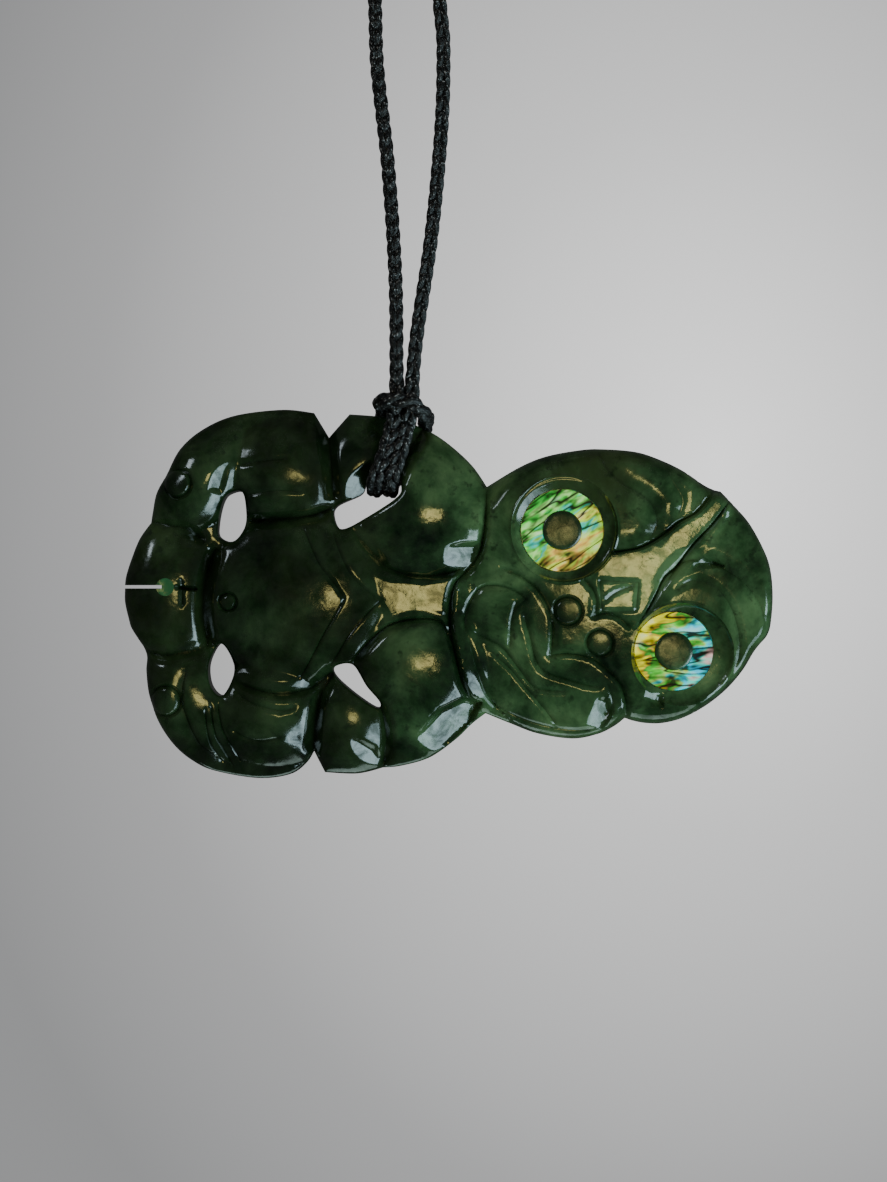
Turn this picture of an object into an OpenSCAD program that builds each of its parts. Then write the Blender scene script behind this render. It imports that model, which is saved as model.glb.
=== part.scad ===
// Hei tiki pendant: a carved greenstone figure with shell eyes, hung sideways from a plaited
// cord that a bone tube closes at the nape. +Z is up, the figure faces -Y, its head is at +X.
// The origin is the middle of the bone tube, where the necklace hangs.

/* [Figure] */
// Length of the figure, from the feet to the crown
figure_l = 100; // [90:1:110]
// Width of the figure, from elbow to elbow
figure_w = 57; // [52:0.5:62]
// Thickness of the stone at its highest relief
figure_t = 9.6; // [9:0.1:11]
// Thickness of the stone at its polished rim
rim_t = 4.4; // [3.6:0.1:5]
// Width over which the rim rises to the full relief
rim_w = 7; // [5:0.5:9]
// Chamfer round the back edge
back_chamfer = 0.8; // [0.4:0.1:1.2]
// Size of the carver's gouge: the widths and depths in the tables are multiples of it
gouge_size = 1; // [0.8:0.05:1.2]
// Depth of every gouge and ring cut, as a multiple of the depths in their tables
carving = 1; // [0.6:0.1:1.2]

/* [Openings] */
// Width of the saw slit between the feet
slit_w = 0.5; // [0.3:0.1:0.8]
// Width of the small pocket that the slit runs into
pocket_w = 2.6; // [2:0.1:3.2]
// Thickness of the web of stone behind the pocket
pocket_web = 0.8; // [0.5:0.1:1.5]

/* [Eyes] */
// Outer diameter of the upper shell ring
upper_ring_d = 12.6; // [11.5:0.1:13]
// Outer diameter of the lower shell ring
lower_ring_d = 12; // [11:0.1:13]
// Diameter of the stone core inside the upper ring
upper_core_d = 6.1; // [5:0.1:7]
// Diameter of the stone core inside the lower ring
lower_core_d = 5.9; // [5:0.1:7]
// Thickness of a shell ring
ring_t = 1.2; // [0.8:0.1:1.6]
// Depth of a shell ring's face below the highest relief
ring_sunk = 2; // [1.6:0.1:2.4]
// Height of a stone core above its ring
core_proud = 0.4; // [0.2:0.1:0.8]
// Width of the hollow socket round a ring
socket_w = 1.9; // [1.2:0.1:2.4]
// Gap round a shell ring in its seat
ring_gap = 0.05; // [0.03:0.01:0.1]

/* [Cord] */
// Diameter of the plaited cord
cord_d = 2; // [1.7:0.05:2.05]

/* [Clasp] */
// Length of the bone tube at the nape
clasp_l = 34; // [28:1:38]
// Outer diameter of the bone tube
clasp_d = 5.4; // [4.8:0.1:6.5]
// Gap between the cord and the bore of the bone tube
clasp_gap = 0.15; // [0.1:0.05:0.3]
// Bevel round each end of the bone tube
clasp_bevel = 0.6; // [0.3:0.1:0.9]

/* [Hidden] */
$fn = 48;

// Centre of the cord hole in the stone: all shares along the figure are measured from it.
HOLE_X = -4;
// Middle of the figure's width.
MIDDLE_Z = -227;
// Back plane of the stone.
BACK_Y = 4.5;
// Share along the figure at which the cord hole lies.
HOLE_ALONG = 0.396;
// Length over which cutters run past the stone.
PAST = 2;

// The outline has two edges, each a list of strokes with corners where strokes meet.
// A point is [share along the figure from the feet, share of the width from its middle].
EDGE_ABOVE = [
    [[0, 0.040], [0.004, 0.066], [0.011, 0.098], [0.023, 0.150], [0.040, 0.193]],
    [[0.040, 0.193], [0.043, 0.222], [0.050, 0.274], [0.065, 0.325], [0.086, 0.392],
     [0.121, 0.446], [0.170, 0.484], [0.243, 0.500], [0.292, 0.490]],
    [[0.292, 0.490], [0.315, 0.425]],
    [[0.315, 0.425], [0.347, 0.487]],
    [[0.347, 0.487], [0.388, 0.483], [0.425, 0.472], [0.463, 0.446], [0.500, 0.406],
     [0.535, 0.349], [0.557, 0.292]],
    [[0.557, 0.292], [0.583, 0.322], [0.609, 0.344], [0.650, 0.373], [0.706, 0.390],
     [0.741, 0.392], [0.788, 0.385], [0.823, 0.366], [0.858, 0.336], [0.893, 0.296],
     [0.909, 0.282]],
    [[0.909, 0.282], [0.919, 0.278], [0.940, 0.238], [0.963, 0.190], [0.985, 0.123],
     [0.996, 0.069], [1, 0.030]]
];
EDGE_BELOW = [
    [[0, -0.040], [0.005, -0.064], [0.011, -0.096], [0.028, -0.142], [0.034, -0.171]],
    [[0.034, -0.171], [0.036, -0.240], [0.040, -0.290], [0.053, -0.352], [0.077, -0.412],
     [0.106, -0.455], [0.140, -0.481], [0.206, -0.500], [0.255, -0.489], [0.279, -0.460],
     [0.292, -0.427]],
    [[0.292, -0.427], [0.308, -0.484]],
    [[0.308, -0.484], [0.359, -0.488], [0.397, -0.472], [0.427, -0.466], [0.470, -0.443],
     [0.511, -0.395], [0.535, -0.353], [0.557, -0.325]],
    [[0.557, -0.325], [0.594, -0.350], [0.637, -0.379], [0.690, -0.394], [0.730, -0.381],
     [0.755, -0.360], [0.771, -0.337]],
    [[0.771, -0.337], [0.804, -0.352], [0.830, -0.350], [0.860, -0.337], [0.894, -0.306],
     [0.926, -0.262], [0.952, -0.209], [0.969, -0.159], [0.985, -0.122], [0.996, -0.078],
     [1, -0.030]]
];
// Stations along the figure where the outline turns, and the sections up to the next one.
STATIONS = [[0, 5], [0.040, 17], [0.292, 2], [0.308, 1], [0.315, 3], [0.347, 14],
            [0.557, 14], [0.771, 9], [0.909, 9]];
// Points across each section.
ACROSS = 34;

// Domes of the relief: along, across, half length, half width, height as a share of figure_t.
DOMES = [
    [0.793, 0.004, 0.290, 0.480, 0.98],
    [0.233, -0.020, 0.120, 0.260, 1.00],
    [0.462, 0.250, 0.115, 0.230, 0.93],
    [0.442, -0.260, 0.115, 0.225, 0.93],
    [0.226, 0.375, 0.115, 0.150, 0.88],
    [0.214, -0.370, 0.130, 0.160, 0.88],
    [0.103, 0.285, 0.085, 0.190, 0.82],
    [0.090, -0.290, 0.085, 0.180, 0.82],
    [0.065, 0.010, 0.095, 0.180, 0.84],
    [0.345, 0.375, 0.065, 0.150, 0.76],
    [0.350, -0.370, 0.075, 0.150, 0.84],
    [0.425, 0.000, 0.120, 0.140, 0.84]
];
// Height of the ground between the domes, as a share of figure_t.
GROUND = 0.66;
// Gouges run along the surface: half width and depth in gouge sizes, then the points of the cut.
GOUGES = [
    [3.4, 1.6, [[0.436, 0.480], [0.415, 0.380], [0.398, 0.300]]],
    [1.6, 1.0, [[0.557, 0.290], [0.560, 0.180], [0.534, 0.090], [0.522, -0.080],
                [0.534, -0.220], [0.557, -0.320]]],
    [1.3, 0.9, [[0.315, 0.425], [0.310, 0.290], [0.326, 0.200]]],
    [1.3, 0.9, [[0.326, 0.200], [0.345, 0.100], [0.352, 0.000], [0.340, -0.110],
                [0.326, -0.200]]],
    [1.3, 0.9, [[0.326, -0.200], [0.305, -0.300], [0.292, -0.427]]],
    [1.2, 0.8, [[0.150, 0.160], [0.126, 0.051], [0.121, -0.042], [0.138, -0.160]]],
    [1.1, 0.7, [[0.170, 0.420], [0.156, 0.330], [0.159, 0.230]]],
    [1.1, 0.7, [[0.150, -0.240], [0.160, -0.380], [0.190, -0.460]]],
    [0.8, 0.6, [[0.607, 0.050], [0.637, 0.006], [0.657, -0.060], [0.656, -0.140],
                [0.680, -0.162], [0.716, -0.172], [0.745, -0.210], [0.764, -0.250],
                [0.770, -0.330]]],
    [0.7, 0.5, [[0.528, -0.060], [0.540, -0.010], [0.556, 0.014], [0.571, 0.023],
                [0.598, 0.006], [0.621, -0.030]]],
    [0.7, 0.6, [[0.614, -0.061], [0.625, -0.123], [0.646, -0.208], [0.680, -0.231],
                [0.733, -0.250], [0.680, -0.261], [0.643, -0.258], [0.603, -0.193],
                [0.540, -0.106]]],
    [0.7, 0.5, [[0.535, -0.153], [0.551, -0.243], [0.567, -0.292], [0.607, -0.333],
                [0.658, -0.360], [0.701, -0.369], [0.738, -0.350], [0.750, -0.300],
                [0.744, -0.250]]],
    [0.8, 0.6, [[0.909, 0.276], [0.882, 0.222], [0.853, 0.193], [0.823, 0.151],
                [0.793, 0.122], [0.748, 0.114]]],
    [0.8, 0.6, [[0.930, 0.252], [0.905, 0.193], [0.874, 0.136], [0.848, 0.077],
                [0.830, 0.044], [0.802, -0.047]]],
    [0.6, 0.5, [[0.697, 0.053], [0.719, 0.015], [0.726, -0.020], [0.719, -0.063],
                [0.758, -0.061], [0.775, -0.088]]]
];
// Turn of the eight-sided gouge, so that none of its faces lies along a section.
TOOL_TURN = 11;
// Length of the gouge above the surface.
TOOL_REACH = 3;
// Rings cut round small bosses: centre along and across, radius as a share of the figure's
// length, half width and depth in gouge sizes.
BOSSES = [
    [0.682, -0.047, 0.022, 0.5, 0.5],
    [0.731, -0.133, 0.020, 0.5, 0.5],
    [0.161, -0.023, 0.013, 0.4, 0.5],
    [0.083, 0.298, 0.021, 0.5, 0.5],
    [0.065, -0.290, 0.023, 0.5, 0.5]
];

// Openings right through the stone, each a closed loop through a few points.
OPENINGS = [
    [[0.163, 0.271], [0.184, 0.270], [0.187, 0.190], [0.170, 0.142], [0.147, 0.152],
     [0.145, 0.190], [0.152, 0.245]],
    [[0.323, 0.212], [0.330, 0.239], [0.364, 0.266], [0.372, 0.290], [0.380, 0.325],
     [0.418, 0.328], [0.427, 0.290], [0.420, 0.258], [0.372, 0.203], [0.335, 0.174]],
    [[0.148, -0.135], [0.165, -0.170], [0.169, -0.220], [0.152, -0.276], [0.134, -0.250],
     [0.131, -0.190]],
    [[0.324, -0.198], [0.352, -0.192], [0.374, -0.250], [0.394, -0.292], [0.390, -0.308],
     [0.360, -0.275], [0.328, -0.226]]
];

// Centres of the eyes and, after each, the centre of its hollow socket.
UPPER_EYE = [0.674, 0.170];
UPPER_SOCKET = [0.677, 0.174];
LOWER_EYE = [0.845, -0.155];
LOWER_SOCKET = [0.858, -0.160];
// The slit runs from the feet to the pocket, and a groove goes on to the belly.
POCKET = [0.065, 0.018];
GROOVE_END = [0.113, 0.014];
GROOVE_DEPTH = 1.2;

// Route of the cord: [x, y, z], from inside the bone tube, down in front of the stone, round
// the arm in a cow hitch and back up to the other end of the tube.
CORD_ROUTE = [
    [-9, 0, 0], [-21, 0, -0.8], [-37, 0, -9.5], [-46, 0, -32], [-40, 0, -60], [-25, 0, -88],
    [-12, 0, -110], [-5.8, -0.4, -128], [-4.6, -1.2, -146], [-2.9, -2.4, -161.5],
    [-1.8, -3.3, -178], [-1.6, -4.1, -191], [-1.7, -4.2, -198.6], [-3.1, -4.2, -204.6],
    [-4.7, -3.95, -209.2], [-5, 0.6, -211.1], [-4.7, 5.25, -209.2], [-4.1, 6, -204],
    [-3.8, 4.9, -198.9], [-3.8, 0.5, -197.7], [-4, -3.9, -197.9], [-2.7, -6.4, -197.5],
    [0.6, -6.6, -197.9], [2.7, -4.8, -199.6], [2.9, 0.8, -200], [2.6, 5.4, -201.3], [0.9, 6.1, -206],
    [-2.2, 5.1, -209.6], [-2.6, 0.6, -211.2], [-2.4, -3.95, -209.5], [-0.9, -4.2, -204.8],
    [0.5, -4.2, -199], [0.9, -4.1, -193.5], [1.7, -3.7, -186], [3.8, -2.8, -171.6],
    [5.3, -1.8, -155], [5.6, -1, -143], [5.4, -0.4, -130], [12, 0, -110], [25, 0, -88],
    [40, 0, -60], [46, 0, -32], [37, 0, -9.5], [21, 0, -0.8], [9, 0, 0]
];
// Rings of the cord's tube on each stretch between two points of the route.
CORD_STEPS = 2;
CORD_SIDES = 8;

// Small helpers.
function mix(a, b, t) = a + (b - a) * t;
function clamp01(t) = max(0, min(1, t));
function unit(v) = v / norm(v);

// A place on the figure, given as shares, in the frame: [x, z].
function place(p) = [HOLE_X + (p[0] - HOLE_ALONG) * figure_l, MIDDLE_Z + p[1] * figure_w];

// Slope of an edge at point k of its stroke.
function slope(s, k) =
    let (a = s[max(0, k - 1)], b = s[min(len(s) - 1, k + 1)])
    (b[1] - a[1]) / max(0.001, b[0] - a[0]);
// Height of a stroke at share u, on a cubic through the points on both sides of it.
function along_stroke(s, u, k) =
    let (a = s[k], b = s[k + 1], w = b[0] - a[0], t = clamp01((u - a[0]) / w))
    (2 * t * t * t - 3 * t * t + 1) * a[1] + (t * t * t - 2 * t * t + t) * w * slope(s, k)
    + (3 * t * t - 2 * t * t * t) * b[1] + (t * t * t - t * t) * w * slope(s, k + 1);
function find_step(s, u, k = 0) = (k >= len(s) - 2 || u < s[k + 1][0]) ? k : find_step(s, u, k + 1);
function find_stroke(edge, u, n = 0) =
    (n >= len(edge) - 1 || u < edge[n + 1][0][0]) ? n : find_stroke(edge, u, n + 1);
function edge_at(edge, u) =
    let (s = edge[find_stroke(edge, u)])
    along_stroke(s, u, find_step(s, u));

// Shares along the figure of all its sections. The last stretch is closer set at the crown.
function station_list() = [
    for (i = [0 : len(STATIONS) - 1])
        let (a = STATIONS[i][0], last = i == len(STATIONS) - 1, b = last ? 1 : STATIONS[i + 1][0],
             n = STATIONS[i][1])
        for (k = [0 : n - (last ? 0 : 1)])
            let (t = k / n)
            mix(a, b, i == 0 ? t * t : last ? sin(90 * t) : t)
];

// Distance from point p to the stretch from a to b.
function span_gap(p, a, b) =
    let (d = b - a, t = clamp01((p - a) * d / max(0.0001, d * d)))
    norm(p - a - t * d);

// Height of one dome at a place given as shares.
function dome(row, p) =
    let (q = pow((p[0] - row[0]) / row[2], 2) + pow((p[1] - row[1]) / row[3], 2))
    q >= 1 ? GROUND : mix(GROUND, row[4], 1 - q * q);

// The sections: the lower and the upper end of each, in the frame.
function section_rows(us) =
    [for (u = us) [place([u, edge_at(EDGE_BELOW, u)]), place([u, edge_at(EDGE_ABOVE, u)])]];
// Distance from a place to the rim.
function rim_gap(rows, p) =
    let (n = len(rows))
    min([for (k = [0 : n - 2])
             min(span_gap(p, rows[k][0], rows[k + 1][0]), span_gap(p, rows[k][1], rows[k + 1][1])),
         span_gap(p, rows[0][0], rows[0][1]), span_gap(p, rows[n - 1][0], rows[n - 1][1])]);
// Shares of a place in the frame.
function shares(p) = [(p[0] - HOLE_X) / figure_l + HOLE_ALONG, (p[1] - MIDDLE_Z) / figure_w];
// The front surface of the uncut stone over a place.
function front_y(rows, p) =
    let (rise = clamp01(rim_gap(rows, p) / rim_w),
         full = figure_t * max([for (d = DOMES) dome(d, shares(p))]))
    BACK_Y - mix(rim_t, full, sqrt(1 - pow(1 - rise, 2)));

// The uncut stone: sections from the feet to the crown, each with ACROSS + 1 points over its
// front, and a flat chamfered back.
module stone_body(rows) {
    n = len(rows);
    function front(i, j) =
        let (t = j / ACROSS, p = mix(rows[i][0], rows[i][1], mix(t, (1 - cos(180 * t)) / 2, 0.6)))
        [p[0], front_y(rows, p), p[1]];
    front_points = [for (i = [0 : n - 1]) for (j = [0 : ACROSS]) front(i, j)];
    // The rim as one loop: along the lower edge to the crown, and back along the upper edge.
    loop = concat([for (i = [0 : n - 1]) [i * (ACROSS + 1), rows[i][0]]],
                  [for (i = [n - 1 : -1 : 0]) [i * (ACROSS + 1) + ACROSS, rows[i][1]]]);
    m = len(loop);
    // The loop moved inwards by the chamfer.
    function inset(k) =
        let (a = loop[(k + m - 1) % m][1], b = loop[k][1], c = loop[(k + 1) % m][1],
             d = unit(unit(b - a) + unit(c - b)))
        b + back_chamfer * [-d[1], d[0]];
    side_points = [for (k = [0 : m - 1]) [loop[k][1][0], BACK_Y - back_chamfer, loop[k][1][1]]];
    back_points = [for (k = [0 : m - 1]) let (q = inset(k)) [q[0], BACK_Y, q[1]]];
    s0 = len(front_points);
    b0 = s0 + m;
    front_faces = [
        for (i = [0 : n - 2]) for (j = [0 : ACROSS - 1])
            let (a = i * (ACROSS + 1) + j, b = a + ACROSS + 1)
            each [[a, a + 1, b + 1], [a, b + 1, b]]];
    // At the two blunt ends the front has a whole section of points.
    side_faces = [
        for (k = [0 : m - 1])
            let (q = (k + 1) % m, blunt = k == n - 1 || k == m - 1)
            each [blunt
                      ? [for (j = [0 : ACROSS])
                             k == n - 1 ? loop[k][0] + j : loop[0][0] + ACROSS - j,
                         s0 + q, s0 + k]
                      : [loop[k][0], loop[q][0], s0 + q, s0 + k],
                  [s0 + k, s0 + q, b0 + q], [s0 + k, b0 + q, b0 + k]]];
    back_face = [[for (k = [0 : m - 1]) b0 + k]];
    polyhedron(concat(front_points, side_points, back_points),
               concat(front_faces, side_faces, back_face));
}

// A V-shaped gouge of half width w and depth d that follows the surface along some places.
module gouge(rows, w, d, places) {
    module tool(p) {
        translate([p[0], front_y(rows, p) + d, p[1]]) rotate([90, TOOL_TURN, 0]) {
            cylinder(h = d, r1 = 0, r2 = w, $fn = 8);
            translate([0, 0, d]) cylinder(h = TOOL_REACH, r = w, $fn = 8);
        }
    }
    for (k = [0 : len(places) - 2])
        hull() {
            tool(places[k]);
            tool(places[k + 1]);
        }
}

// The places along a ring cut round a boss.
function ring_places(row) =
    let (c = place([row[0], row[1]]))
    [for (a = [0 : 36 : 360]) c + row[2] * figure_l * [cos(a), sin(a)]];

// A flat shape in the figure's plane, cut from y = from to y = to.
module through(from, to) {
    translate([0, to, 0]) rotate([90, 0, 0]) linear_extrude(to - from) children();
}

// A point on a closed loop, at t between points k and k + 1.
function loop_point(points, k, t) =
    let (n = len(points), a = points[(k + n - 1) % n], b = points[k], c = points[(k + 1) % n],
         d = points[(k + 2) % n])
    0.5 * (2 * b + (c - a) * t + (2 * a - 5 * b + 4 * c - d) * t * t
           + (3 * b - 3 * c + d - a) * t * t * t);

module opening(row) {
    points = [for (p = row) place(p)];
    through(BACK_Y - figure_t - PAST, BACK_Y + PAST)
        polygon([for (k = [0 : len(points) - 1]) for (t = [0 : 0.25 : 0.75])
                     loop_point(points, k, t)]);
}

ring_face_y = BACK_Y - figure_t + ring_sunk;

// Turns a profile of [radius, y] about the axis of an eye.
module round_eye(centre) {
    c = place(centre);
    translate([c[0], 0, c[1]]) rotate([90, 0, 0]) mirror([0, 0, 1]) rotate_extrude() children();
}

// What is cut away for one eye: the ring's seat, the hollow socket round it and all that is
// above the stone core.
module eye_cut(eye, socket, ring_d, core_d) {
    seat_r = ring_d / 2 + ring_gap;
    core_r = core_d / 2 - ring_gap;
    top = BACK_Y - figure_t - PAST;
    round_eye(eye) {
        polygon([[core_r, ring_face_y + ring_t + ring_gap], [seat_r, ring_face_y + ring_t + ring_gap],
                 [seat_r, top], [0, top], [0, ring_face_y - core_proud],
                 [core_r, ring_face_y - core_proud]]);
    }
    difference() {
        round_eye(socket)
            polygon([[0, top], [0, ring_face_y], [ring_d / 2, ring_face_y],
                     [ring_d / 2 + socket_w, ring_face_y - ring_sunk * 0.75],
                     [ring_d / 2 + socket_w, top]]);
        // The core stands inside the socket.
        round_eye(eye)
            polygon([[0, ring_face_y + ring_t], [core_r, ring_face_y + ring_t],
                     [core_r, ring_face_y - core_proud], [0, ring_face_y - core_proud]]);
    }
}

module slit_cut() {
    feet = place([0, POCKET[1]]);
    pocket = place(POCKET);
    groove = place(GROOVE_END);
    front_y = BACK_Y - figure_t - PAST;
    translate([feet[0] - PAST, front_y, pocket[1] - slit_w / 2])
        cube([pocket[0] - feet[0] + PAST, figure_t + 2 * PAST, slit_w]);
    translate([pocket[0], front_y, pocket[1] - slit_w / 2])
        cube([groove[0] - pocket[0], PAST + figure_t * (1 - GROUND) + GROOVE_DEPTH, slit_w]);
    // The pocket is a square set on its corner.
    translate([pocket[0], BACK_Y - pocket_web, pocket[1]])
        rotate([90, 0, 0]) rotate([0, 0, 45])
            translate([-pocket_w / 2, -pocket_w / 2, 0])
                cube([pocket_w, pocket_w, figure_t + PAST]);
}

// The pierced stone. A resize to zero keeps every size, and takes the carving as one mesh.
module tiki() {
    rows = section_rows(station_list());
    color("darkgreen") resize([0, 0, 0]) difference() {
        stone_body(rows);
        for (row = GOUGES)
            gouge(rows, row[0] * gouge_size, row[1] * gouge_size * carving,
                  [for (q = row[2]) place(q)]);
        for (row = BOSSES)
            gouge(rows, row[3] * gouge_size, row[4] * gouge_size * carving, ring_places(row));
        for (row = OPENINGS) opening(row);
        eye_cut(UPPER_EYE, UPPER_SOCKET, upper_ring_d, upper_core_d);
        eye_cut(LOWER_EYE, LOWER_SOCKET, lower_ring_d, lower_core_d);
        slit_cut();
    }
}

// A flat ring of shell, seated round its stone core.
module eye_ring(eye, ring_d, core_d) {
    color("paleturquoise") round_eye(eye)
        polygon([[core_d / 2, ring_face_y], [ring_d / 2, ring_face_y],
                 [ring_d / 2, ring_face_y + ring_t], [core_d / 2, ring_face_y + ring_t]]);
}
module eye_ring_upper() { eye_ring(UPPER_EYE, upper_ring_d, upper_core_d); }
module eye_ring_lower() { eye_ring(LOWER_EYE, lower_ring_d, lower_core_d); }

// A point of the cord's route, at t between points k and k + 1.
function route_point(r, k, t) =
    let (n = len(r), a = r[max(0, k - 1)], b = r[k], c = r[min(n - 1, k + 1)],
         d = r[min(n - 1, k + 2)])
    0.5 * (2 * b + (c - a) * t + (2 * a - 5 * b + 4 * c - d) * t * t
           + (3 * b - 3 * c + d - a) * t * t * t);
function route_line(r) =
    [for (k = [0 : len(r) - 2]) for (s = [0 : CORD_STEPS - 1]) route_point(r, k, s / CORD_STEPS),
     r[len(r) - 1]];
function direction(line, k) = unit(line[min(len(line) - 1, k + 1)] - line[max(0, k - 1)]);
// Side vectors of the rings, each carried over from the ring before so that nothing twists.
function sides(line, k = 0, last = [0, 1, 0]) =
    k >= len(line) ? [] :
    let (d = direction(line, k), s = unit(last - (last * d) * d))
    concat([s], sides(line, k + 1, s));

module neck_cord() {
    line = route_line(CORD_ROUTE);
    side = sides(line);
    n = len(line);
    points = [
        for (k = [0 : n - 1])
            let (d = direction(line, k), up = cross(d, side[k]))
            for (j = [0 : CORD_SIDES - 1])
                let (a = 360 * j / CORD_SIDES)
                line[k] + cord_d / 2 * (cos(a) * side[k] + sin(a) * up)];
    walls = [
        for (k = [0 : n - 2]) for (j = [0 : CORD_SIDES - 1])
            let (a = k * CORD_SIDES + j, b = k * CORD_SIDES + (j + 1) % CORD_SIDES)
            each [[a, b, a + CORD_SIDES], [b, b + CORD_SIDES, a + CORD_SIDES]]];
    ends = [[for (j = [CORD_SIDES - 1 : -1 : 0]) j],
            [for (j = [0 : CORD_SIDES - 1]) (n - 1) * CORD_SIDES + j]];
    color("dimgray") polyhedron(points, concat(walls, ends));
}

// Bone tube with the cord's two ends drawn into its bore.
module clasp() {
    bore_r = cord_d / 2 + clasp_gap;
    color("ivory") rotate([0, 90, 0]) rotate_extrude()
        polygon([[bore_r, -clasp_l / 2], [clasp_d / 2 - clasp_bevel, -clasp_l / 2],
                 [clasp_d / 2, -clasp_l / 2 + clasp_bevel],
                 [clasp_d / 2, clasp_l / 2 - clasp_bevel],
                 [clasp_d / 2 - clasp_bevel, clasp_l / 2], [bore_r, clasp_l / 2]]);
}

tiki();
eye_ring_upper();
eye_ring_lower();
neck_cord();
clasp();
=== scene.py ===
# %% [markdown]
# # A hei tiki pendant on its plaited cord
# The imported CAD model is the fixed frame. The camera and the cord come first, because the cord's
# real length decides how large the model may be. Then come the carved stone, the shell eyes, the
# bone tube that closes the cord, the backdrop and the lights.

# %% Load the frame
import math
import bpy
import numpy as np
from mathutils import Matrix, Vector
from mathutils.geometry import delaunay_2d_cdt
from mathutils.kdtree import KDTree


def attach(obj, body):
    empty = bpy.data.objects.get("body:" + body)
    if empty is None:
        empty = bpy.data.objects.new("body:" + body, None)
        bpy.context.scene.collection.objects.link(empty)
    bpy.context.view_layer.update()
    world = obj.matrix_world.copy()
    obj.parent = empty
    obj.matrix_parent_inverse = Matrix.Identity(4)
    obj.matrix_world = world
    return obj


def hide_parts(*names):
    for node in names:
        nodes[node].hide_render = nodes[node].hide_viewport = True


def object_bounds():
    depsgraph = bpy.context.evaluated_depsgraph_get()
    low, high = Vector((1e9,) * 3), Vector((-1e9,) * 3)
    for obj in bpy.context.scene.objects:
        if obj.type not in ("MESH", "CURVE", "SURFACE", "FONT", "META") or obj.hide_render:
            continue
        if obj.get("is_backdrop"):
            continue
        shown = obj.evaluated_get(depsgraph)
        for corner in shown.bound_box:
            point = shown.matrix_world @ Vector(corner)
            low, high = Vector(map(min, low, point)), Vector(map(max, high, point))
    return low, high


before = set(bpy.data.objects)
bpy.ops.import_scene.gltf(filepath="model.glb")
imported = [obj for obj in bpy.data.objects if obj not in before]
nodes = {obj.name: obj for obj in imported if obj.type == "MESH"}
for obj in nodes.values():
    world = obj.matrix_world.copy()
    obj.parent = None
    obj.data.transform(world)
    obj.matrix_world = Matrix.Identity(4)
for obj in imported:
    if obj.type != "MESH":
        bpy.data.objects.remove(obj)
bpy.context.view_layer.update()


def corners():
    """Both corners of the box round the model."""
    low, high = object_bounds()
    return [[round(v, 6) for v in low], [round(v, 6) for v in high]]


# %% [markdown]
# ## Camera
# The pendant hangs in front of the camera, which looks straight at it from half a metre away.

# %% Camera
CAMERA_AT = (0.0056, -0.503, -0.2266)
LENS_MM = 99.3
CLIP_START = 0.01
bpy.ops.object.camera_add(location=CAMERA_AT, rotation=(math.radians(90), 0, 0))
camera = bpy.context.object
camera.name = "camera"
camera.data.lens = LENS_MM
camera.data.clip_start = CLIP_START
bpy.context.scene.camera = camera
print("camera at", [round(v, 4) for v in camera.location])

# %% [markdown]
# ## The cord
# The route is the one of the CAD part, in metres: from inside the bone tube at the nape, down in
# front of the stone, round the arm in a cow hitch, and back up to the other end of the tube.

# %% Route of the cord
ROUTE = [
    (-0.009, 0, 0), (-0.021, 0, -0.0008), (-0.037, 0, -0.0095), (-0.046, 0, -0.032),
    (-0.04, 0, -0.06), (-0.025, 0, -0.088), (-0.012, 0, -0.11), (-0.0058, -0.0004, -0.128),
    (-0.0046, -0.0012, -0.146), (-0.0029, -0.0024, -0.1615), (-0.0018, -0.0033, -0.178),
    (-0.0016, -0.0041, -0.191), (-0.0017, -0.0042, -0.1986), (-0.0031, -0.0042, -0.2046),
    (-0.0047, -0.00395, -0.2092), (-0.005, 0.0006, -0.2111), (-0.0047, 0.00525, -0.2092),
    (-0.0041, 0.006, -0.204), (-0.0038, 0.0049, -0.1989), (-0.0038, 0.0005, -0.1977),
    (-0.004, -0.0039, -0.1979), (-0.0027, -0.0064, -0.1975), (0.0006, -0.0066, -0.1979),
    (0.0027, -0.0048, -0.1996), (0.0029, 0.0008, -0.2), (0.0026, 0.0054, -0.2013),
    (0.0009, 0.0061, -0.206), (-0.0022, 0.0051, -0.2096), (-0.0026, 0.0006, -0.2112),
    (-0.0024, -0.00395, -0.2095), (-0.0009, -0.0042, -0.2048), (0.0005, -0.0042, -0.199),
    (0.0009, -0.0041, -0.1935), (0.0017, -0.0037, -0.186), (0.0038, -0.0028, -0.1716),
    (0.0053, -0.0018, -0.155), (0.0056, -0.001, -0.143), (0.0054, -0.0004, -0.13),
    (0.012, 0, -0.11), (0.025, 0, -0.088), (0.04, 0, -0.06), (0.046, 0, -0.032),
    (0.037, 0, -0.0095), (0.021, 0, -0.0008), (0.009, 0, 0),
]


def distances(line):
    """How far along the line each of its places lies."""
    return np.concatenate([[0], np.cumsum(np.linalg.norm(np.diff(line, axis=0), axis=1))])


def smooth_line(points, step, closed=False, k=12):
    """Places an even step apart on a smooth line, worked out at k places for each point."""
    p = np.array(points, float)
    if closed:
        p = np.vstack([p[-1:], p, p[:2]])
    else:
        p = np.vstack([p[:1], p, p[-1:]])
    t = np.linspace(0, 1, k, endpoint=False)[:, None]
    parts = []
    for a, b, c, d in zip(p[:-3], p[1:-2], p[2:-1], p[3:]):
        parts.append(0.5 * (2 * b + (c - a) * t + (2 * a - 5 * b + 4 * c - d) * t ** 2
                            + (3 * b - 3 * c + d - a) * t ** 3))
    dense = np.vstack(parts + [p[-2:-1]])
    run = distances(dense)
    n = max(2, int(round(run[-1] / step)))
    at = np.linspace(0, run[-1], n + 1)
    line = np.stack([np.interp(at, run, dense[:, i]) for i in range(dense.shape[1])], axis=1)
    return line[:-1] if closed else line


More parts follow.
